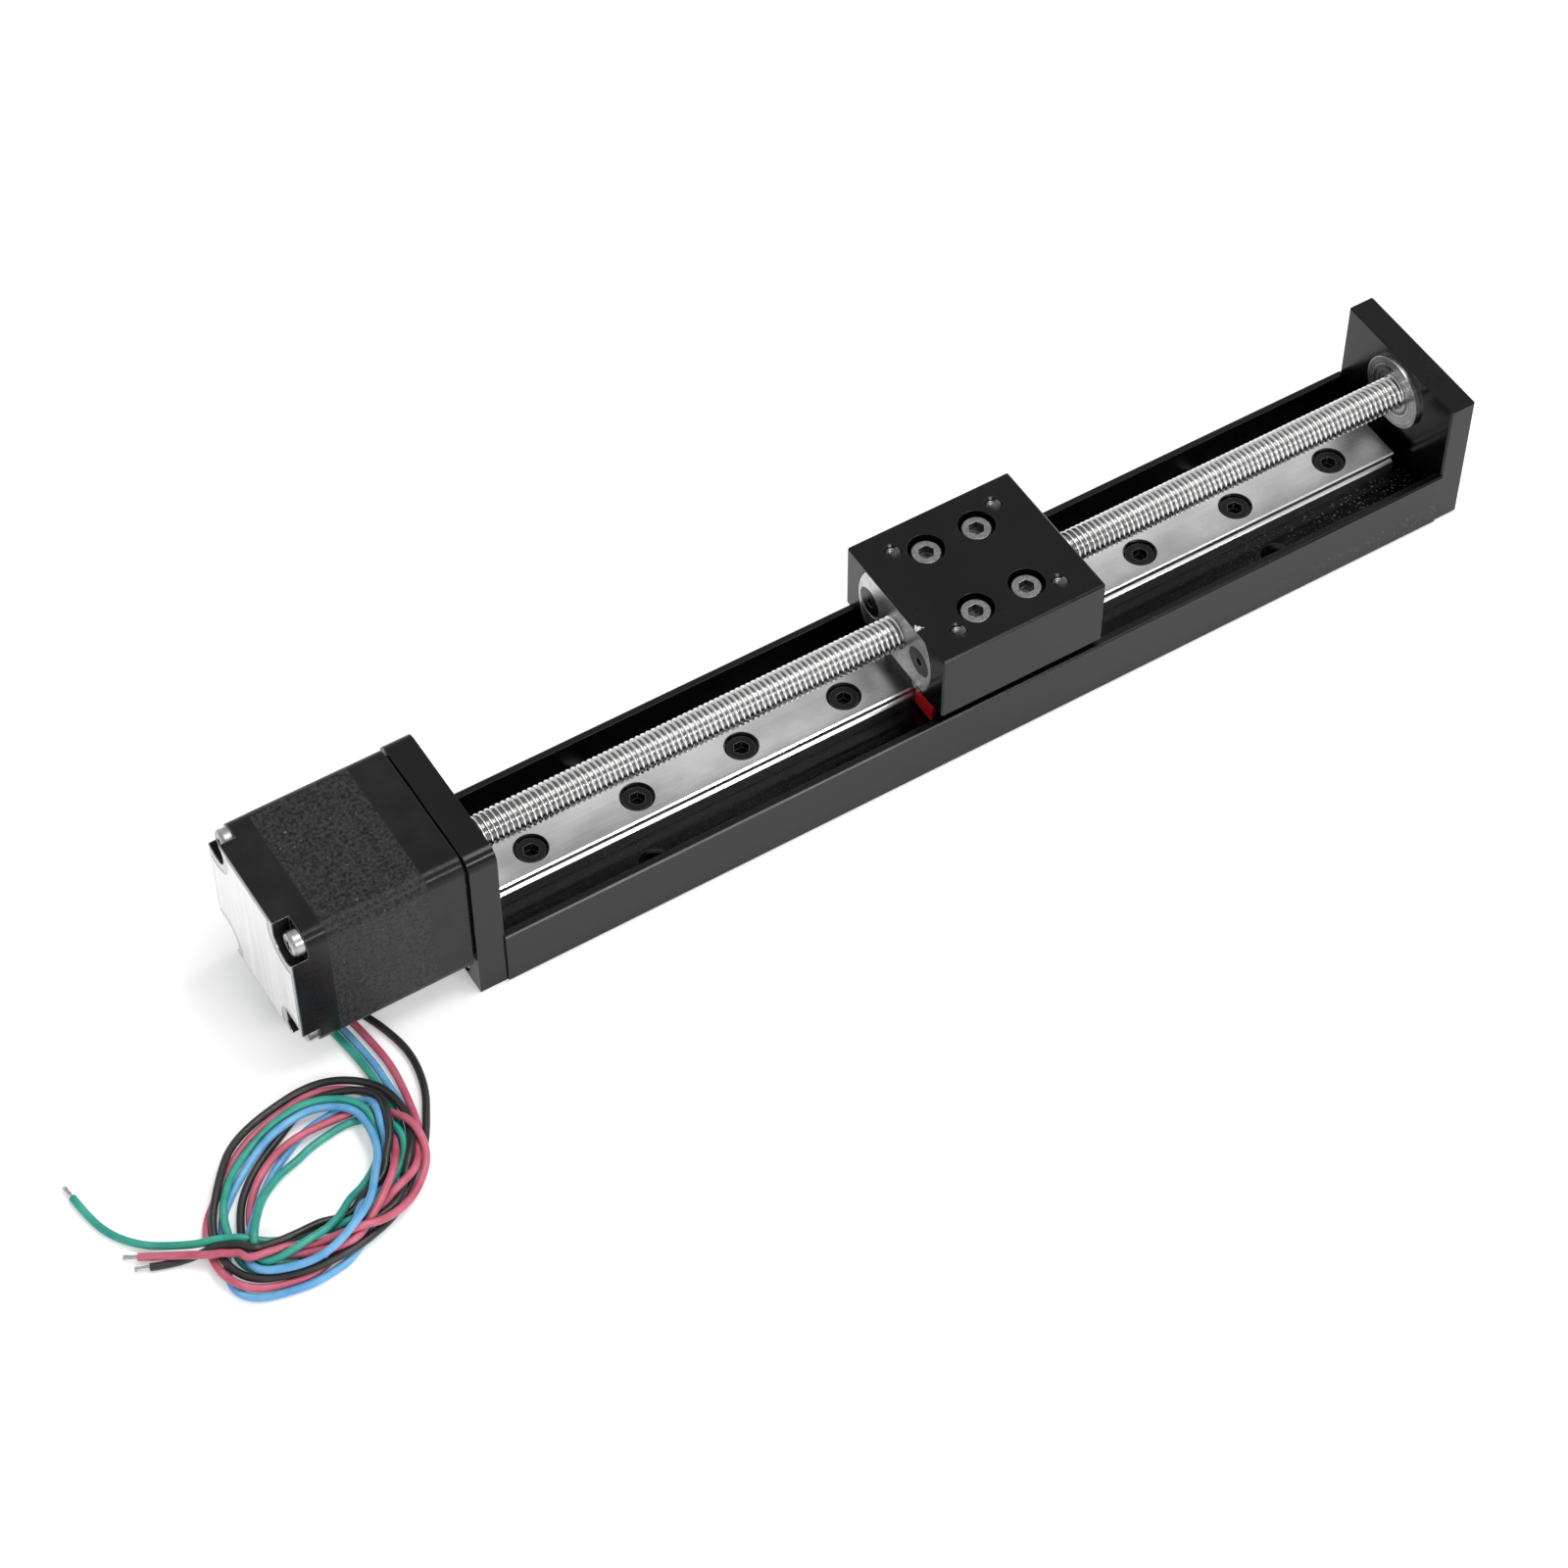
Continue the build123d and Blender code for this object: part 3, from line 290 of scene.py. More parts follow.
ground_steel, tree, shader = finish("ground_steel", (steel_high,) * 3, metal=1.0, rough=0.26)
grinding = grain(tree, 2400.0, (0.01, 1.0, 1.0))
smears = grain(tree, 95.0, (0.6, 1.0, 1.0), detail=5.0)
faint = spread(tree, grinding, 0.3, 0.7, -0.03, 0.03)
tone = sums(tree, "ADD", faint, spread(tree, smears, 0.35, 0.65, steel_low, steel_high))
tree.links.new(put(tree, "CombineColor", tone, tone, tone).outputs[0], shader.inputs["Base Color"])
tree.links.new(spread(tree, smears, 0.35, 0.65, 0.34, 0.22), shader.inputs["Roughness"])
bumped(tree, shader, grinding, 0.000006)
coat(ground_steel, "guide_rail", "guide_block")

# End caps, seals and balls of the guide block: moulded black caps turn the balls round, and
# each seal is a black frame with red rubber lips that wipe the rail's sides. The balls are
# polished steel, like the screw's bearings.

moulded_black, tree, shader = finish("moulded_black", (0.010,) * 3, rough=0.5, specular=0.4)
texture = grain(tree, 2800.0, detail=4.0)
rounded = broken_edges(tree, 0.00012)
tree.links.new(grey(tree, texture, 0.3, 0.7, 0.008, 0.016), shader.inputs["Base Color"])
tree.links.new(spread(tree, texture, 0.3, 0.7, 0.42, 0.58), shader.inputs["Roughness"])
bumped(tree, shader, texture, 0.00002, rounded)
coat(moulded_black, "block_end_caps", "lead_grommet")

seal_lip_top = 0.0095
lip_to_frame = 0.0002
lip_dark, lip_light = (0.55, 0.006, 0.009, 1.0), (0.88, 0.020, 0.026, 1.0)
frame_black = (0.010, 0.010, 0.010, 1.0)
red_rubber, tree, shader = finish("red_rubber", (0.34, 0.008, 0.010), rough=0.38, specular=0.5)
texture = grain(tree, 1500.0, detail=5.0)
rounded = broken_edges(tree, 0.00015)
red = mixed(tree, texture, lip_dark, lip_light)
height = put(tree, "SeparateXYZ", put(tree, "TexCoord").outputs["Object"]).outputs[2]
frame_part = spread(tree, height, seal_lip_top, seal_lip_top + lip_to_frame, 0.0, 1.0)
tree.links.new(mixed(tree, frame_part, red, frame_black), shader.inputs["Base Color"])
tree.links.new(spread(tree, texture, 0.3, 0.7, 0.30, 0.46), shader.inputs["Roughness"])
bumped(tree, shader, texture, 0.00002, rounded)
coat(red_rubber, "block_end_seals")

axis_height = 0.020


def turned(name, low, high, rough, groove_depth, contrast=0.06):
    """Bright steel turned about the screw's axis, with the tool's fine rings on its faces."""
    material, tree, shader = finish(name, (high,) * 3, metal=1.0, rough=rough)
    place = put(tree, "TexCoord").outputs["Object"]
    axis = put(tree, "Mapping", Vector=place, Location=(0.0, 0.0, -axis_height), Scale=(0.0, 1.0, 1.0))
    reach = put(tree, "VectorMath", axis.outputs[0])
    reach.operation = "LENGTH"
    along = put(tree, "SeparateXYZ", place).outputs[0]
    rings = put(tree, "CombineXYZ", reach.outputs["Value"], along)
    tooling = put(tree, "TexNoise", Vector=rings.outputs[0], Scale=2600.0, Detail=3.0).outputs[0]
    stain = grain(tree, 420.0, detail=4.0)
    rounded = broken_edges(tree, 0.00010)
    ringed = spread(tree, tooling, 0.3, 0.7, -contrast, contrast)
    tone = sums(tree, "ADD", ringed, spread(tree, stain, 0.3, 0.7, low, high))
    tree.links.new(put(tree, "CombineColor", tone, tone, tone).outputs[0], shader.inputs["Base Color"])
    tree.links.new(spread(tree, stain, 0.3, 0.7, rough + 0.08, rough - 0.05), shader.inputs["Roughness"])
    bumped(tree, shader, tooling, groove_depth, rounded)
    return material


polished_steel = turned("polished_steel", 0.52, 0.66, 0.28, 0.000008, contrast=0.30)
bearing_parts = [
    f"{bearing}_bearing_{part}"
    for bearing in ("end", "front", "rear")
    for part in ("inner_ring", "outer_ring", "shields", "balls")
]
coat(polished_steel, "block_balls", "wave_washer", *bearing_parts)

# Carriage: an aluminium block milled on all sides and black anodised, with counterbores for
# its screws and tapped holes for the load. A small pale spot on its top edge at the motor's side
# is a painted highlight, where that edge catches the light.

glint_place = (-0.0097, -0.0063, 0.0270)
glint_reach = 0.0006
glint_ragged = 0.0004
painted_glint_grey = (0.62, 0.62, 0.61, 1.0)

carriage_black = anodised("carriage_black", (0.02, 1.0, 1.0), 0.000005, swarf=stray_dust)
tree = carriage_black.node_tree
shader = tree.nodes["Principled BSDF"]
# A pale ragged spot is painted round that place: a painted glint, not bare metal.
from_glint = put(tree, "VectorMath", put(tree, "TexCoord").outputs["Object"], glint_place)
from_glint.operation = "DISTANCE"
ragged = spread(tree, grain(tree, 1500.0), 0.3, 0.7, -glint_ragged, glint_ragged)
glint_edge = sums(tree, "ADD", from_glint.outputs["Value"], ragged)
painted_glint = spread(tree, glint_edge, glint_reach, glint_reach * 0.8, 0.0, 1.0)
whole = shader.inputs["Base Color"].links[0].from_socket
tree.links.new(mixed(tree, painted_glint, whole, painted_glint_grey), shader.inputs["Base Color"])
coat(carriage_black, "carriage")

# Carriage screws: four steel M3 socket-head screws that hold the carriage on the guide block.
# The head's rim is bright, and the pressed hexagon is painted darker: painted shade in the recess.

recess_top = 0.02612
rim_to_recess = 0.0002
head_steel, tree, shader = finish("head_steel", (zinc_high,) * 3, metal=1.0, rough=0.3)
height = put(tree, "SeparateXYZ", put(tree, "TexCoord").outputs["Object"]).outputs[2]
# Below the rim the colour turns darker, as painted shade in the hexagon recess.
recess_shade_share = spread(tree, height, recess_top, recess_top - rim_to_recess, 0.0, 1.0)
brushed = grain(tree, 1800.0, detail=4.0)
rounded = broken_edges(tree, 0.00012)
rim = grey(tree, brushed, 0.3, 0.7, 0.24, 0.34)
painted_recess_shade = grey(tree, brushed, 0.3, 0.7, 0.06, 0.24)
tree.links.new(mixed(tree, recess_shade_share, rim, painted_recess_shade), shader.inputs["Base Color"])
tree.links.new(spread(tree, brushed, 0.3, 0.7, 0.24, 0.36), shader.inputs["Roughness"])
bumped(tree, shader, brushed, 0.000005, rounded)
coat(head_steel, "carriage_screws")

# Threads of the carriage's four tapped holes: M3 threads, anodised black with the block and
# rubbed grey by screws. Each is one ridge that winds down its hole.

tapped_middle, tapped_offset = 0.00575, 0.0100
tapped_top, tapped_bottom = 0.02655, 0.0195
tapped_radius, tapped_ridge = 0.00126, 0.00108
tapped_pitch = 0.0005
tapped_steps = 20
ridge_section = (
    (tapped_radius, -0.42), (tapped_ridge, -0.08), (tapped_ridge, 0.08), (tapped_radius, 0.42),
)

thread_form = bmesh.new()
for side_x in (-1, 1):
    for side_y in (-1, 1):
        middle = Vector((tapped_middle + side_x * tapped_offset, side_y * tapped_offset, 0.0))
        steps = int((tapped_top - tapped_bottom) / tapped_pitch * tapped_steps)
        rings = []
        for step in range(steps + 1):
            angle = 2 * math.pi * step / tapped_steps
            z = tapped_bottom + tapped_pitch * step / tapped_steps
            outward = Vector((math.cos(angle), math.sin(angle), 0.0))
            ring = []
            for radius, share in ridge_section:
                up = Vector((0, 0, z + tapped_pitch * share))
                ring.append(thread_form.verts.new(middle + outward * radius + up))
            rings.append(ring)
        for near, after in zip(rings, rings[1:]):
            for k in range(4):
                thread_form.faces.new((near[k], near[(k + 1) % 4], after[(k + 1) % 4], after[k]))
        thread_form.faces.new(rings[0])
        thread_form.faces.new(rings[-1][::-1])
bmesh.ops.recalc_face_normals(thread_form, faces=thread_form.faces)
thread_mesh = bpy.data.meshes.new("tapped_threads")
thread_form.to_mesh(thread_mesh)
thread_form.free()
rubbed_thread, tree, shader = finish("rubbed_thread", (0.2,) * 3, metal=1.0, rough=0.34)
rub = grain(tree, 2200.0, detail=4.0)
tree.links.new(grey(tree, rub, 0.3, 0.7, 0.12, 0.36), shader.inputs["Base Color"])
tree.links.new(spread(tree, rub, 0.3, 0.7, 0.26, 0.44), shader.inputs["Roughness"])
bumped(tree, shader, rub, 0.00001)
tapped_threads = piece("tapped_threads", thread_mesh, rubbed_thread)
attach(tapped_threads, "carriage")

# Drive nut: a flanged nut turned from bright steel, let into the carriage and held there by
# two countersunk screws through its flange.

bright_steel = turned("bright_steel", 0.52, 0.66, 0.30, 0.000004)
coat(bright_steel, "lead_nut")

# Lead screw: 6 mm steel with a rolled thread of 1 mm pitch between its plain journals.
# The thread's roots are painted much darker than its crests, as painted shade between them.

thread_pitch = 0.001
thread_near, thread_far = -0.0975, 0.0934
crest_radius, root_radius = 0.0030, 0.00255
journal_near, journal_far = -0.1276, 0.0975
journal_break = 0.0005
journal_tip = crest_radius - journal_break
thread_profile = (0.0, 0.0, 0.12, 0.62, 1.0, 1.0, 0.62, 0.12)
steps_round = 28
painted_root_shade = (0.26, 0.26, 0.255, 1.0)
dull_crest = (0.74, 0.74, 0.74, 1.0)
bright_crest = (0.90, 0.90, 0.90, 1.0)

crest_count = len(thread_profile)
turns_of_thread = (thread_far - thread_near) / thread_pitch
row_count = int(math.ceil(turns_of_thread * crest_count))
spokes = [2 * math.pi * j / steps_round for j in range(steps_round)]
shaft_mesh = bmesh.new()


def on_shaft(x, radius, angle):
    """A new point of the shaft's skin, at x along it and that far out from its axis."""
    return shaft_mesh.verts.new((x, radius * math.cos(angle), axis_height + radius * math.sin(angle)))


rows = []
for k in range(-crest_count, row_count + crest_count):
    row = []
    for j, angle in enumerate(spokes):
        turn = k / crest_count + j / steps_round
        x = min(max(thread_near + thread_pitch * turn, thread_near), thread_far)
        past_near, before_far = (x - thread_near) / thread_pitch, (thread_far - x) / thread_pitch
        runout = min(1.0, max(0.0, past_near), max(0.0, before_far))
        depth = thread_profile[k % crest_count] * runout * (crest_radius - root_radius)
        radius = crest_radius - depth
        row.append(on_shaft(x, radius, angle))
    rows.append(row)
for k in range(len(rows) - 1):
    for j in range(steps_round):
        wrap = j + 1 == steps_round
        if wrap and k + 1 + crest_count >= len(rows):
            continue
        shift = crest_count if wrap else 0
        after = (j + 1) % steps_round
        beside = (rows[k + 1 + shift][after], rows[k + shift][after])
        shaft_mesh.faces.new((rows[k][j], rows[k + 1][j], *beside))
for ring, plain in (
    (rows[0], ((journal_near + journal_break, crest_radius), (journal_near, journal_tip))),
    (rows[-1], ((journal_far - journal_break, crest_radius), (journal_far, journal_tip))),
):
    for x, radius in plain:
        next_ring = [on_shaft(x, radius, angle) for angle in spokes]
        for j in range(steps_round):
            after = (j + 1) % steps_round
            shaft_mesh.faces.new((ring[j], ring[after], next_ring[after], next_ring[j]))
        ring = next_ring
    shaft_mesh.faces.new(ring)
bmesh.ops.remove_doubles(shaft_mesh, verts=shaft_mesh.verts, dist=1e-7)
bmesh.ops.recalc_face_normals(shaft_mesh, faces=shaft_mesh.faces)
for face in shaft_mesh.faces:
    face.smooth = True
threaded = bpy.data.meshes.new("threaded_shaft")
shaft_mesh.to_mesh(threaded)
shaft_mesh.free()
threaded.set_sharp_from_angle(angle=math.radians(40))

rolled_steel, tree, shader = finish("rolled_steel", (0.62,) * 3, metal=1.0, rough=0.2)
place = put(tree, "TexCoord").outputs["Object"]
axis = put(tree, "Mapping", Vector=place, Location=(0.0, 0.0, -axis_height), Scale=(0.0, 1.0, 1.0))
reach = put(tree, "VectorMath", axis.outputs[0])
reach.operation = "LENGTH"
oily = grain(tree, 700.0, detail=4.0)
# The colour goes from dark at the roots to light at the crests: painted shade in the roots.
height = spread(tree, reach.outputs["Value"], root_radius, crest_radius, 0.0, 1.0)
crest = mixed(tree, oily, dull_crest, bright_crest)
tree.links.new(mixed(tree, height, painted_root_shade, crest), shader.inputs["Base Color"])
tree.links.new(spread(tree, oily, 0.3, 0.7, 0.28, 0.16), shader.inputs["Roughness"])
bumped(tree, shader, grain(tree, 3600.0), 0.000006)
shaft = piece("threaded_shaft", threaded, rolled_steel)
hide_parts("lead_screw")
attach(shaft, "screw")

# Motor: cast end caps painted black clamp a stack of bare-edged steel laminations. Inside
# are eight copper windings and a magnet between two plain steel discs.

rear_face = -0.1290
machined_ends, machined_full = rear_face + 0.00025, rear_face + 0.00012
chips_end, chips_full = rear_face + 0.0034, rear_face + 0.0028
cap_black = (0.011, 0.011, 0.0115)
bare_casting = (0.50, 0.50, 0.49, 1.0)

motor_paint, tree, shader = finish("motor_paint", cap_black, rough=0.26, specular=0.17)
peel = grain(tree, 1700.0, detail=4.0)
cloudy = grain(tree, 160.0, detail=4.0)
rounded = broken_edges(tree, 0.00018)
along = put(tree, "SeparateXYZ", put(tree, "TexCoord").outputs["Object"]).outputs[0]
faced = spread(tree, along, machined_ends, machined_full, 0.0, 1.0)
notched = spread(tree, along, chips_end, chips_full, 0.12, 0.9)
flaking = sums(tree, "MULTIPLY", notched, spread(tree, peel, 0.3, 0.6, 0.4, 1.0))
chipped = sums(tree, "MULTIPLY", near_edges(tree, rounded), flaking)
bare = sums(tree, "MAXIMUM", faced, chipped)
black = grey(tree, cloudy, 0.3, 0.7, 0.008, 0.016)
tree.links.new(mixed(tree, bare, black, bare_casting), shader.inputs["Base Color"])
tree.links.new(faced, shader.inputs["Metallic"])
tree.links.new(spread(tree, peel, 0.3, 0.7, 0.18, 0.30), shader.inputs["Roughness"])
bumped(tree, shader, peel, 0.000006, rounded)
coat(motor_paint, "motor_front_cap", "motor_rear_cap")

sheet_pitch = 0.0005
bare_speck = (0.22, 0.22, 0.215, 1.0)
laminations, tree, shader = finish("laminations", (0.03,) * 3, rough=0.34, specular=0.12)
along = put(tree, "SeparateXYZ", put(tree, "TexCoord").outputs["Object"]).outputs[0]
count = sums(tree, "DIVIDE", along, sheet_pitch)
groove = sums(tree, "PINGPONG", count, 0.5)
index = put(tree, "CombineXYZ", sums(tree, "FLOOR", count, 0.0)).outputs[0]
each = put(tree, "TexWhiteNoise", Vector=index)
grit = grain(tree, 1700.0, detail=3.0)
sheet_tone = spread(tree, each.outputs["Value"], 0.0, 1.0, 0.023, 0.029)
grit_tone = spread(tree, grit, 0.35, 0.65, -0.013, 0.018)
tone = sums(tree, "ADD", sheet_tone, grit_tone)
plain = put(tree, "CombineColor", tone, tone, tone).outputs[0]
speck = spread(tree, grain(tree, 1500.0, detail=1.0), 0.74, 0.79, 0.0, 0.8)
tree.links.new(mixed(tree, speck, plain, bare_speck), shader.inputs["Base Color"])
tree.links.new(spread(tree, grit, 0.35, 0.65, 0.26, 0.44), shader.inputs["Roughness"])
relief = sums(tree, "ADD", spread(tree, groove, 0.0, 0.12, 0.0, 1.0), grit)
rounded = broken_edges(tree, 0.00015)
bumped(tree, shader, relief, 0.000014, rounded)
coat(laminations, "motor_stator")

enamelled_copper, tree, shader = finish("enamelled_copper", (0.45, 0.16, 0.06), metal=1.0, rough=0.3)
wires = grain(tree, 2600.0, (0.05, 1.0, 1.0))
copper = mixed(tree, wires, (0.30, 0.09, 0.03, 1.0), (0.60, 0.24, 0.10, 1.0))
tree.links.new(copper, shader.inputs["Base Color"])
bumped(tree, shader, wires, 0.00008)
coat(enamelled_copper, "motor_windings")

coat(turned("rotor_steel", 0.30, 0.42, 0.36, 0.00002), "rotor_cups")
coat(turned("sintered_magnet", 0.10, 0.18, 0.48, 0.00001), "rotor_magnet")

# Rear foil: a blank silver foil stuck on the machined rear face of the motor, with its
# corners cut round the four screws.

foil_half = 0.0134
foil_corner = 0.0049
screw_offset = 0.0115
foil_thickness = 0.00007
foil_steps = 10

lowest = math.asin((foil_half - screw_offset) / foil_corner)
outline = []
for quarter in range(4):
    turn = Matrix.Rotation(quarter * math.pi / 2, 2)
    for step in range(foil_steps + 1):
        angle = math.pi * 1.5 + lowest - (math.pi / 2 + 2 * lowest) * step / foil_steps
        cut = foil_corner * Vector((math.cos(angle), math.sin(angle)))
        outline.append(turn @ (Vector((screw_offset, screw_offset)) + cut))
foil_form = bmesh.new()
sheet_side = [foil_form.verts.new((rear_face, p.x, axis_height + p.y)) for p in outline]
foil_face = foil_form.faces.new(sheet_side)
raised = bmesh.ops.extrude_face_region(foil_form, geom=[foil_face])
for vert in (v for v in raised["geom"] if isinstance(v, bmesh.types.BMVert)):
    vert.co.x -= foil_thickness
bmesh.ops.recalc_face_normals(foil_form, faces=foil_form.faces)
foil_mesh = bpy.data.meshes.new("rear_foil")
foil_form.to_mesh(foil_mesh)
foil_form.free()
silver_foil, tree, shader = finish("silver_foil", (0.90, 0.90, 0.90), metal=0.6, rough=0.33)
streaks = grain(tree, 1100.0, (1.0, 1.0, 0.03), detail=4.0)
wrinkles = grain(tree, 90.0, detail=2.0)
tree.links.new(grey(tree, streaks, 0.3, 0.7, 0.80, 0.96), shader.inputs["Base Color"])
tree.links.new(spread(tree, streaks, 0.3, 0.7, 0.26, 0.42), shader.inputs["Roughness"])
bumped(tree, shader, wrinkles, 0.0002)
rear_foil = piece("rear_foil", foil_mesh, silver_foil)
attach(rear_foil, "base")

# Motor leads: four stranded wires in soft plastic leave the rear cap's grommet and lie in one
# loose coil of two and a half turns on the table. Each reach from the coil's middle is 30
# degrees on from the last, and its layer says which wire lies on top there.

mm = 0.001
lead_radius = 0.65 * mm
lead_clearance = 1.45 * mm
coil_centre = np.array((-138.2, -33.3)) * mm
coil_part = math.radians(-30.0)
layer_height = 1.5 * mm
samples_per_run = 40
settle_step = 1.0 * mm
settle_rounds = 1200
dropping_share = 0.6
drop_step = 0.03 * mm
dropping = {"pull": 0.05, "sideways": 0.4, "upright": 0.25, "pushes": 3}
resting = {"pull": 0.002, "sideways": 0.10, "upright": 0.10, "pushes": 6}
pairs_every = 10
pair_reach = 1.2 * mm
near_along = 8
ordered_from = 1.5
order_lift = 0.05 * mm
push_share = 1.2
held_from = 0.6
nodes_per_point = 2
hand_ends_beyond = -160.0 * mm
table_gap = 0.1 * mm

leads = {
    "red": {
        "start": [
            (-124.6, 6.0, 6.0), (-124.6, 6.0, 3.2), (-123.6, 3.6, 0.7), (-121.9, -0.9, 0.7),
            (-118.9, -7.0, 0.7), (-117.8, -13.7, 0.7), (-117.2, -19.8, 0.7), (-117.8, -25.4, 0.7),
        ],
        "first": 0,
        "reaches": [
            17.9, 14.4, 11.5, 11.6, 15.5, 21.1, 18.0, 14.0, 13.6, 14.6, 17.4, 18.8,
            14.8, 12.7, 11.9, 13.0, 13.4, 15.0, 11.0, 8.9, 7.9, 8.2, 10.5, 16.3,
            17.6, 16.2, 13.5, 11.2, 12.3, 17.1,
        ],
        "layers": [
            2, 2, 0, 0, 1, 1, 1, 1, 1, 1, 1, 1, 3, 3, 2, 2, 3, 3, 3, 3, 3, 3, 3, 3, 6, 6, 3, 2, 4, 10,
        ],
        "end": [
            (-153.6, -39.2, 2.7), (-157.2, -37.0, 2.4), (-161.6, -34.5, 2.2), (-164.8, -32.2, 1.3),
            (-167.2, -30.6, 1.0),
        ],
    },
    "green": {
        "start": [
            (-127.6, 6.0, 6.0), (-127.6, 6.0, 3.2), (-126.6, 3.6, 0.7), (-124.9, -0.9, 0.7),
            (-122.4, -7.0, 0.7), (-121.4, -13.2, 0.7), (-120.8, -18.6, 0.7),
        ],
        "first": -1,
        "reaches": [
            19.6, 15.6, 12.6, 10.2, 10.2, 13.3, 17.4, 15.6, 13.1, 12.3, 13.0, 14.8, 15.6,
            11.8, 8.4, 7.6, 9.2, 11.9, 16.8, 9.7, 6.7, 5.5, 5.5, 7.8, 13.8,
            15.7, 12.7, 11.0, 9.5, 8.7, 13.1,
        ],
        "layers": [
            0, 0, 0, 0, 0, 1, 1, 3, 4, 5, 5, 5, 5, 5, 5, 7, 8, 8, 8, 5, 3, 3, 3, 3, 3, 3, 3, 2, 0, 0, 6,
        ],
        "end": [
            (-153.2, -38.0, 2.7), (-157.0, -35.4, 2.4), (-161.6, -32.4, 2.0), (-165.4, -29.4, 1.0),
            (-168.6, -25.4, 0.7), (-170.4, -20.8, 0.7), (-171.0, -15.4, 0.7),
        ],
    },
    "blue": {
        "start": [
            (-126.1, 6.0, 6.0), (-126.1, 6.0, 3.2), (-125.1, 3.6, 0.7), (-123.4, -0.9, 0.7),
            (-120.9, -7.0, 0.7), (-119.9, -13.4, 0.7), (-119.3, -18.8, 0.7),
        ],
        "first": -1,
        "reaches": [
            21.3, 16.8, 13.4, 12.2, 13.0, 17.0, 22.2, 16.4, 12.8, 11.0, 11.3, 13.5, 14.4,
            11.8, 10.0, 10.5, 12.6, 15.4, 17.7, 9.9, 7.2, 6.9, 7.9, 11.2, 17.2,
            13.1, 10.3, 9.8, 11.8,
        ],
        "layers": [
            0, 0, 0, 0, 0, 0, 0, 0, 3, 5, 5, 5, 7, 7, 7, 7, 7, 6, 6, 4, 3, 3, 3, 2, 4, 4, 3, 2, 1,
        ],
        "end": [],
    },
    "black": {
        "start": [
            (-123.1, 6.0, 6.0), (-123.1, 6.0, 3.2), (-122.1, 3.6, 0.7), (-120.4, -0.9, 0.7),
            (-117.0, -7.2, 0.7), (-114.6, -13.4, 0.7), (-113.4, -19.6, 0.7), (-114.6, -26.4, 0.7),
        ],
        "first": 0,
        "reaches": [
            19.2, 13.7, 12.3, 12.6, 15.6, 19.3, 17.5, 14.4, 14.3, 15.2, 18.1, 19.7,
            17.7, 14.0, 12.1, 10.8, 14.4, 16.3, 12.4, 10.3, 9.8, 11.2, 16.7, 18.4,
            14.2, 11.5, 9.6, 8.3, 8.9, 14.6,
        ],
        "layers": [
            0, 0, 0, 1, 1, 2, 4, 5, 6, 6, 6, 6, 2, 1, 1, 1, 1, 1, 1, 2, 2, 1, 2, 5, 5, 4, 3, 4, 6, 8,
        ],
        "end": [
            (-152.4, -38.4, 3.4), (-157.4, -36.2, 2.2), (-161.3, -34.7, 0.7), (-164.2, -33.9, 0.7),
            (-166.4, -33.0, 0.7),
        ],
    },
}


def stand_out(points):
    """The points moved out by a quarter of their bend, so that a spline runs where they were."""
    moved = points.copy()
    moved[1:-1] += (points[1:-1] - (points[:-2] + points[2:]) / 2) / 4
    return moved


def laid_line(lead):
    """The wire before it settles, as even steps along it: x, y, z, its layer, and 1 where it is held."""
    start = np.array(lead["start"]) * mm
    angles = coil_part * (lead["first"] + np.arange(len(lead["reaches"])))
    reaches = np.array(lead["reaches"]) * mm
    layers = np.array(lead["layers"], float)
    turns = np.stack(
        [
            coil_centre[0] + reaches * np.cos(angles),
            coil_centre[1] + reaches * np.sin(angles),
            lead_radius + layer_height * layers,
        ],
        axis=1,
    )
    end = np.array(lead["end"]).reshape(-1, 3) * mm
    if len(end):
        end[0, 2] = turns[-1, 2]
    places = np.vstack([start, turns, end])
    coiled = slice(len(start), len(start) + len(turns))
    controls = places.copy()
    controls[coiled, :2] = stand_out(places)[coiled, :2]
    layer = np.concatenate([np.full(len(start), layers[0]), layers, np.full(len(end), layers[-1])])
    held = np.concatenate([np.ones(len(start)), np.zeros(len(turns)), end[:, 0] < hand_ends_beyond])
    controls = np.column_stack([controls, layer, held])
    before = np.vstack([2 * controls[0] - controls[1], controls, 2 * controls[-1] - controls[-2]])
    share = np.linspace(0.0, 1.0, samples_per_run, endpoint=False)[None, :, None]
    fine = (
        before[:-2, None] * (1 - share) ** 2 / 2
        + before[1:-1, None] * (0.5 + share - share**2)
        + before[2:, None] * share**2 / 2
    ).reshape(-1, controls.shape[1])
    along = np.concatenate([[0.0], np.cumsum(np.linalg.norm(np.diff(fine[:, :3], axis=0), axis=1))])
    steps = np.linspace(0.0, along[-1], int(round(along[-1] / settle_step)) + 1)
    return np.column_stack([np.interp(steps, along, column) for column in fine.T])


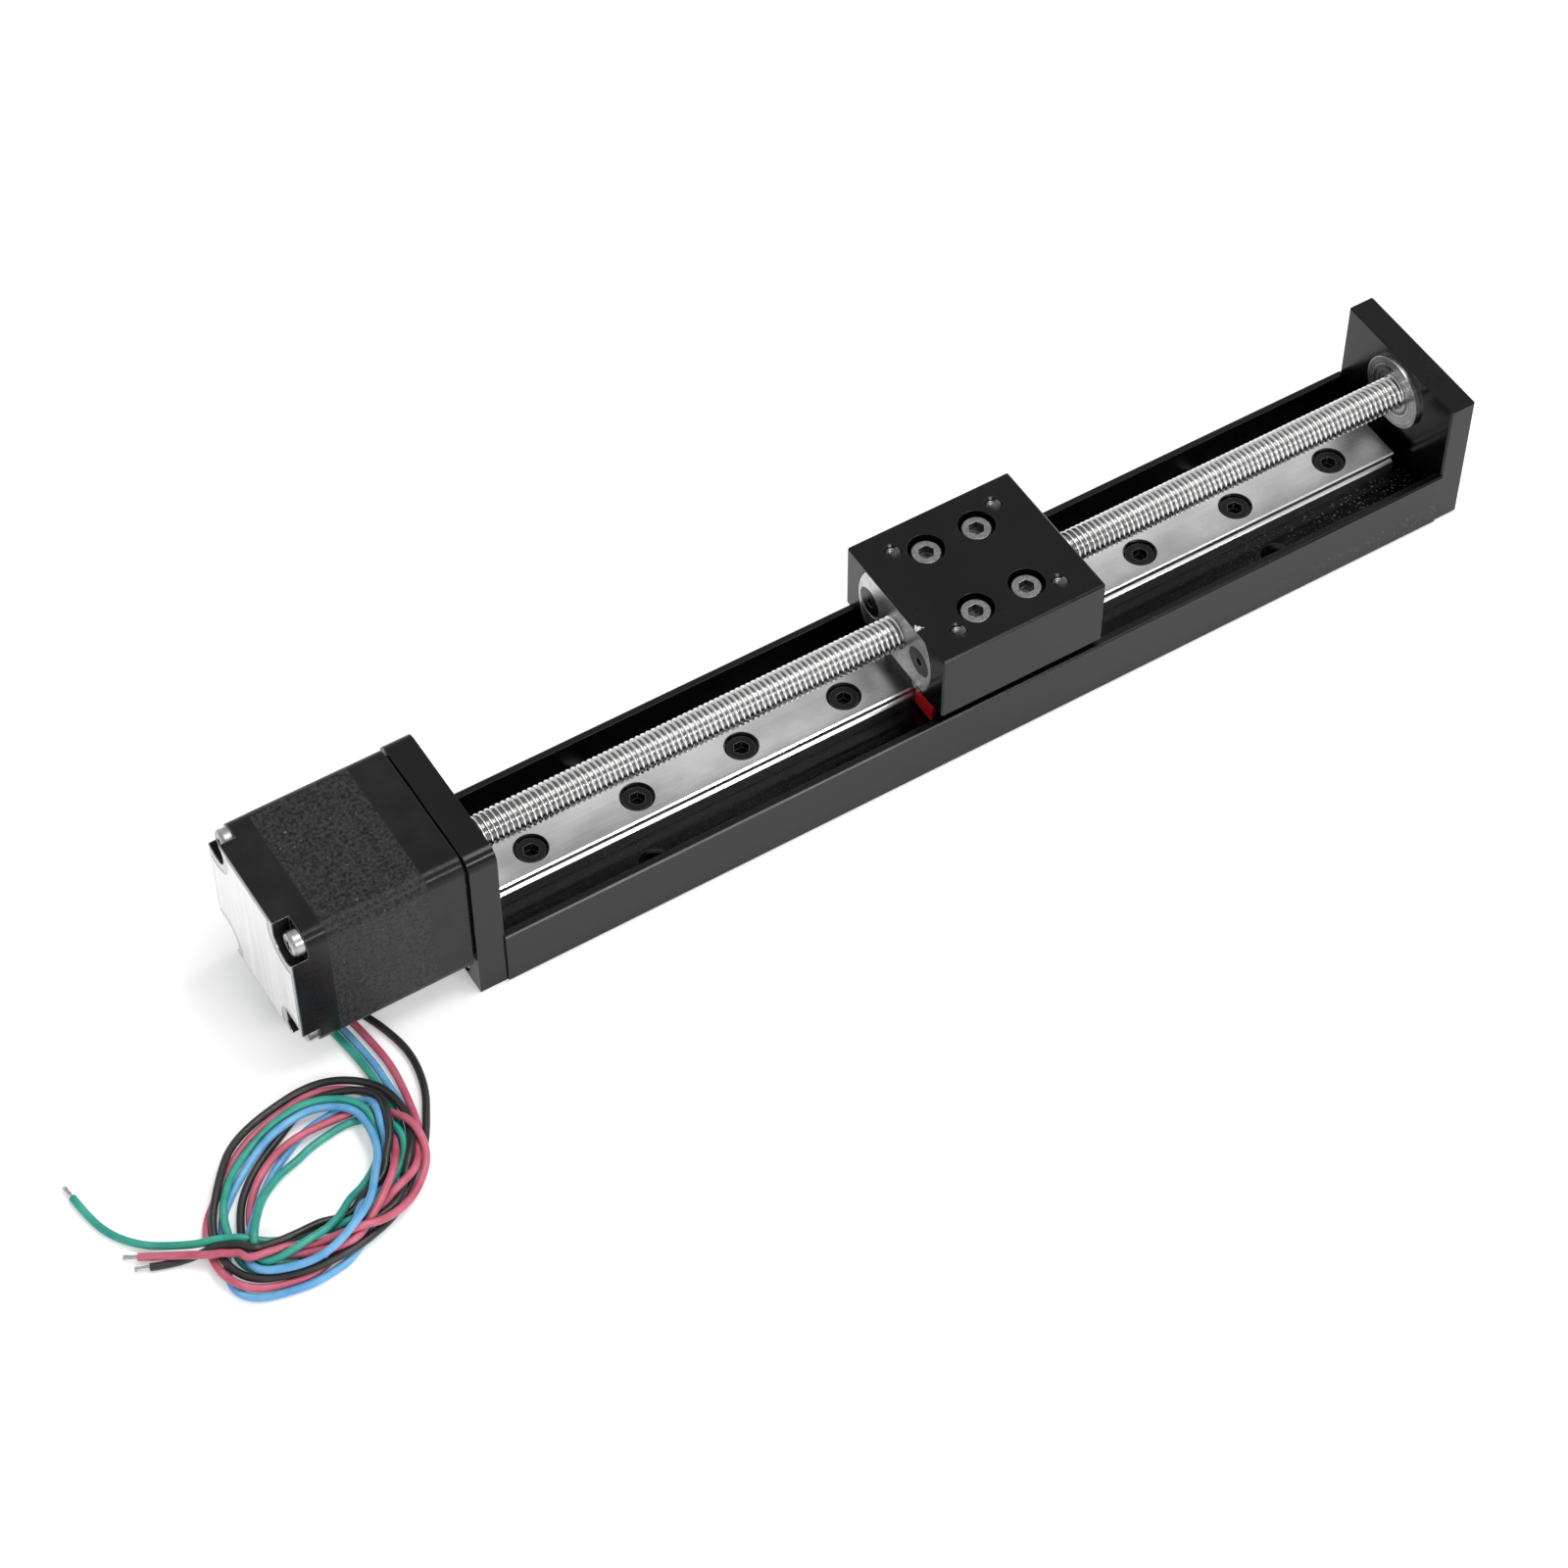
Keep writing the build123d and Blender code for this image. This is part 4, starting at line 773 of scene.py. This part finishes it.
def settled(lines):
    """The wires dropped on the table in their order, pushed apart where they touch, and left to rest."""
    nodes = np.vstack(lines)
    layer, held = nodes[:, 3], nodes[:, 4] > held_from
    places, wanted = nodes[:, :3].copy(), nodes[:, :3].copy()
    wire = np.repeat(np.arange(len(lines)), [len(line) for line in lines])
    starts = np.cumsum([0] + [len(line) for line in lines])
    inner = np.setdiff1d(np.arange(len(nodes)), np.concatenate([starts[:-1], starts[1:] - 1]))
    bend = (wanted[inner - 1] + wanted[inner + 1]) / 2 - wanted[inner]
    bend[:, 2] = 0.0
    order = np.arange(len(nodes))
    free = ~held
    loose = free[inner]
    far_along = order[None, :] - order[:, None]
    apart = (far_along > 0) & ~((wire[:, None] == wire[None, :]) & (far_along < near_along))
    for settle_round in range(settle_rounds):
        at_rest = settle_round > settle_rounds * dropping_share
        way = resting if at_rest else dropping
        if settle_round % pairs_every == 0:
            gaps = np.linalg.norm(places[:, None] - places[None], axis=2)
            low, high = np.nonzero(apart & (gaps < lead_clearance + pair_reach))
        if not at_rest:
            places[free, 2] -= drop_step
        places[free, :2] += way["pull"] * (wanted[free, :2] - places[free, :2])
        now = (places[inner - 1] + places[inner + 1]) / 2 - places[inner]
        move = way["sideways"] * (now - bend)
        move[:, 2] = way["upright"] * now[:, 2]
        places[inner[loose]] += move[loose]
        for _ in range(way["pushes"]):
            across = places[high] - places[low]
            rise = layer[high] - layer[low]
            ordered = (np.abs(rise) > ordered_from) & (not at_rest)
            across[ordered, 2] = np.sign(rise[ordered]) * (np.abs(across[ordered, 2]) + order_lift)
            distance = np.linalg.norm(across, axis=1)
            touching = distance < lead_clearance
            push = across[touching] / np.maximum(distance[touching], 1e-9)[:, None]
            push *= (lead_clearance - distance[touching])[:, None] / 2
            total, count = np.zeros_like(places), np.zeros(len(places))
            np.add.at(total, high[touching], push)
            np.add.at(total, low[touching], -push)
            np.add.at(count, high[touching], 1)
            np.add.at(count, low[touching], 1)
            places[free] += push_share * (total / np.maximum(count, 1)[:, None])[free]
            places[free, 2] = np.maximum(places[free, 2], table_gap + lead_radius)
    runs = [slice(first, last) for first, last in zip(starts, starts[1:])]
    return [places[run] for run in runs], [held[run] for run in runs]


def soft_plastic(name, dark, light):
    """The soft jacket of a lead, a little cloudy and slightly glossy."""
    material, tree, shader = finish(name, light, rough=0.36, specular=0.5)
    cloud = grain(tree, 260.0, detail=4.0)
    drawn = grain(tree, 2200.0, detail=3.0)
    shade = mixed(tree, spread(tree, cloud, 0.3, 0.7, 0.0, 1.0), (*dark, 1.0), (*light, 1.0))
    tree.links.new(shade, shader.inputs["Base Color"])
    tree.links.new(spread(tree, drawn, 0.3, 0.7, 0.30, 0.44), shader.inputs["Roughness"])
    bumped(tree, shader, drawn, 0.000015)
    return material


jackets = {
    "red": soft_plastic("red_jacket", (0.46, 0.075, 0.125), (0.62, 0.15, 0.22)),
    "green": soft_plastic("green_jacket", (0.012, 0.26, 0.19), (0.050, 0.41, 0.32)),
    "blue": soft_plastic("blue_jacket", (0.08, 0.32, 0.60), (0.19, 0.48, 0.78)),
    "black": soft_plastic("black_jacket", (0.014, 0.013, 0.013), (0.030, 0.028, 0.028)),
}

tinned, tree, shader = finish("tinned_strands", (0.62,) * 3, metal=1.0, rough=0.32)
solder = grain(tree, 2500.0, detail=4.0)
tree.links.new(grey(tree, solder, 0.3, 0.7, 0.50, 0.72), shader.inputs["Base Color"])
tree.links.new(spread(tree, solder, 0.3, 0.7, 0.24, 0.42), shader.inputs["Roughness"])
bumped(tree, shader, solder, 0.00002)

tip_length = 2.4 * mm
tip_steps = 8
tucked_in = 0.15
splay_from, splay = 6, 0.25
outer_strands = 6
strand_sides = 8
strand_radius = 0.125 * mm
strand_point = 0.6
strand_ring = 0.255 * mm
strand_lay = 9.0 * mm


def bare_tip(name, last, direction):
    """Seven fine strands that go on from the end of a lead, twisted together and tinned."""
    side = direction.orthogonal().normalized()
    other = direction.cross(side)
    form = bmesh.new()
    for strand in range(outer_strands + 1):
        rings = []
        for step in range(tip_steps + 1):
            far = tip_length * (step / tip_steps * (1 + tucked_in) - tucked_in)
            phase = 2 * math.pi * (strand / outer_strands + far / strand_lay)
            splayed = 1.0 + splay * max(0.0, step - splay_from) / (tip_steps - splay_from)
            ring = 0.0 if strand == outer_strands else strand_ring * splayed
            middle = last + direction * far + ring * (side * math.cos(phase) + other * math.sin(phase))
            thin = strand_radius * (strand_point if step == tip_steps else 1.0)
            rings.append(
                [
                    form.verts.new(middle + thin * (side * math.cos(a) + other * math.sin(a)))
                    for a in (2 * math.pi * k / strand_sides for k in range(strand_sides))
                ]
            )
        for near, after in zip(rings, rings[1:]):
            for k in range(strand_sides):
                beyond = (k + 1) % strand_sides
                form.faces.new((near[k], near[beyond], after[beyond], after[k]))
        form.faces.new(rings[-1])
        form.faces.new(rings[0][::-1])
    bmesh.ops.recalc_face_normals(form, faces=form.faces)
    for face in form.faces:
        face.smooth = len(face.verts) == 4
    mesh = bpy.data.meshes.new(name)
    form.to_mesh(mesh)
    form.free()
    return piece(name, mesh, tinned)


laid, held = settled([laid_line(lead) for lead in leads.values()])
for (colour, lead), line, fixed in zip(leads.items(), laid, held):
    coil_nodes = np.nonzero(~fixed)[0]
    coil_line = line[coil_nodes[2] : coil_nodes[-1] + 1 : nodes_per_point]
    hand_end = [point for point in lead["end"] if point[0] * mm < hand_ends_beyond]
    route = [Vector(point) * mm for point in lead["start"]]
    route += [Vector(point) for point in stand_out(coil_line)]
    route += [Vector(point) * mm for point in hand_end]
    wire = bpy.data.curves.new(f"lead_{colour}_wire", "CURVE")
    wire.dimensions = "3D"
    wire.resolution_u = 6
    spline = wire.splines.new("NURBS")
    spline.points.add(len(route) - 1)
    for point, place in zip(spline.points, route):
        point.co = (*place, 1.0)
    spline.use_endpoint_u = True
    spline.order_u = 3
    cord = piece(f"lead_{colour}_wire", wire, jackets[colour])
    bpy.context.view_layer.update()
    centre = bpy.data.meshes.new_from_object(cord)
    run = [Vector(v.co) for v in centre.vertices]
    bpy.data.meshes.remove(centre)
    wire.bevel_depth = lead_radius
    wire.bevel_resolution = 5
    wire.use_fill_caps = True
    tips = []
    replaced = [f"lead_{colour}"]
    if lead["end"]:
        tips = [bare_tip(f"lead_{colour}_tip", run[-1], (run[-1] - run[-2]).normalized())]
        replaced += [f"tail_{colour}"]
    if colour == "black":
        replaced += ["lead_coil"]
    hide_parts(*replaced)
    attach(cord, "base")
    for tip in tips:
        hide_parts("lead_tips")
        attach(tip, "base")
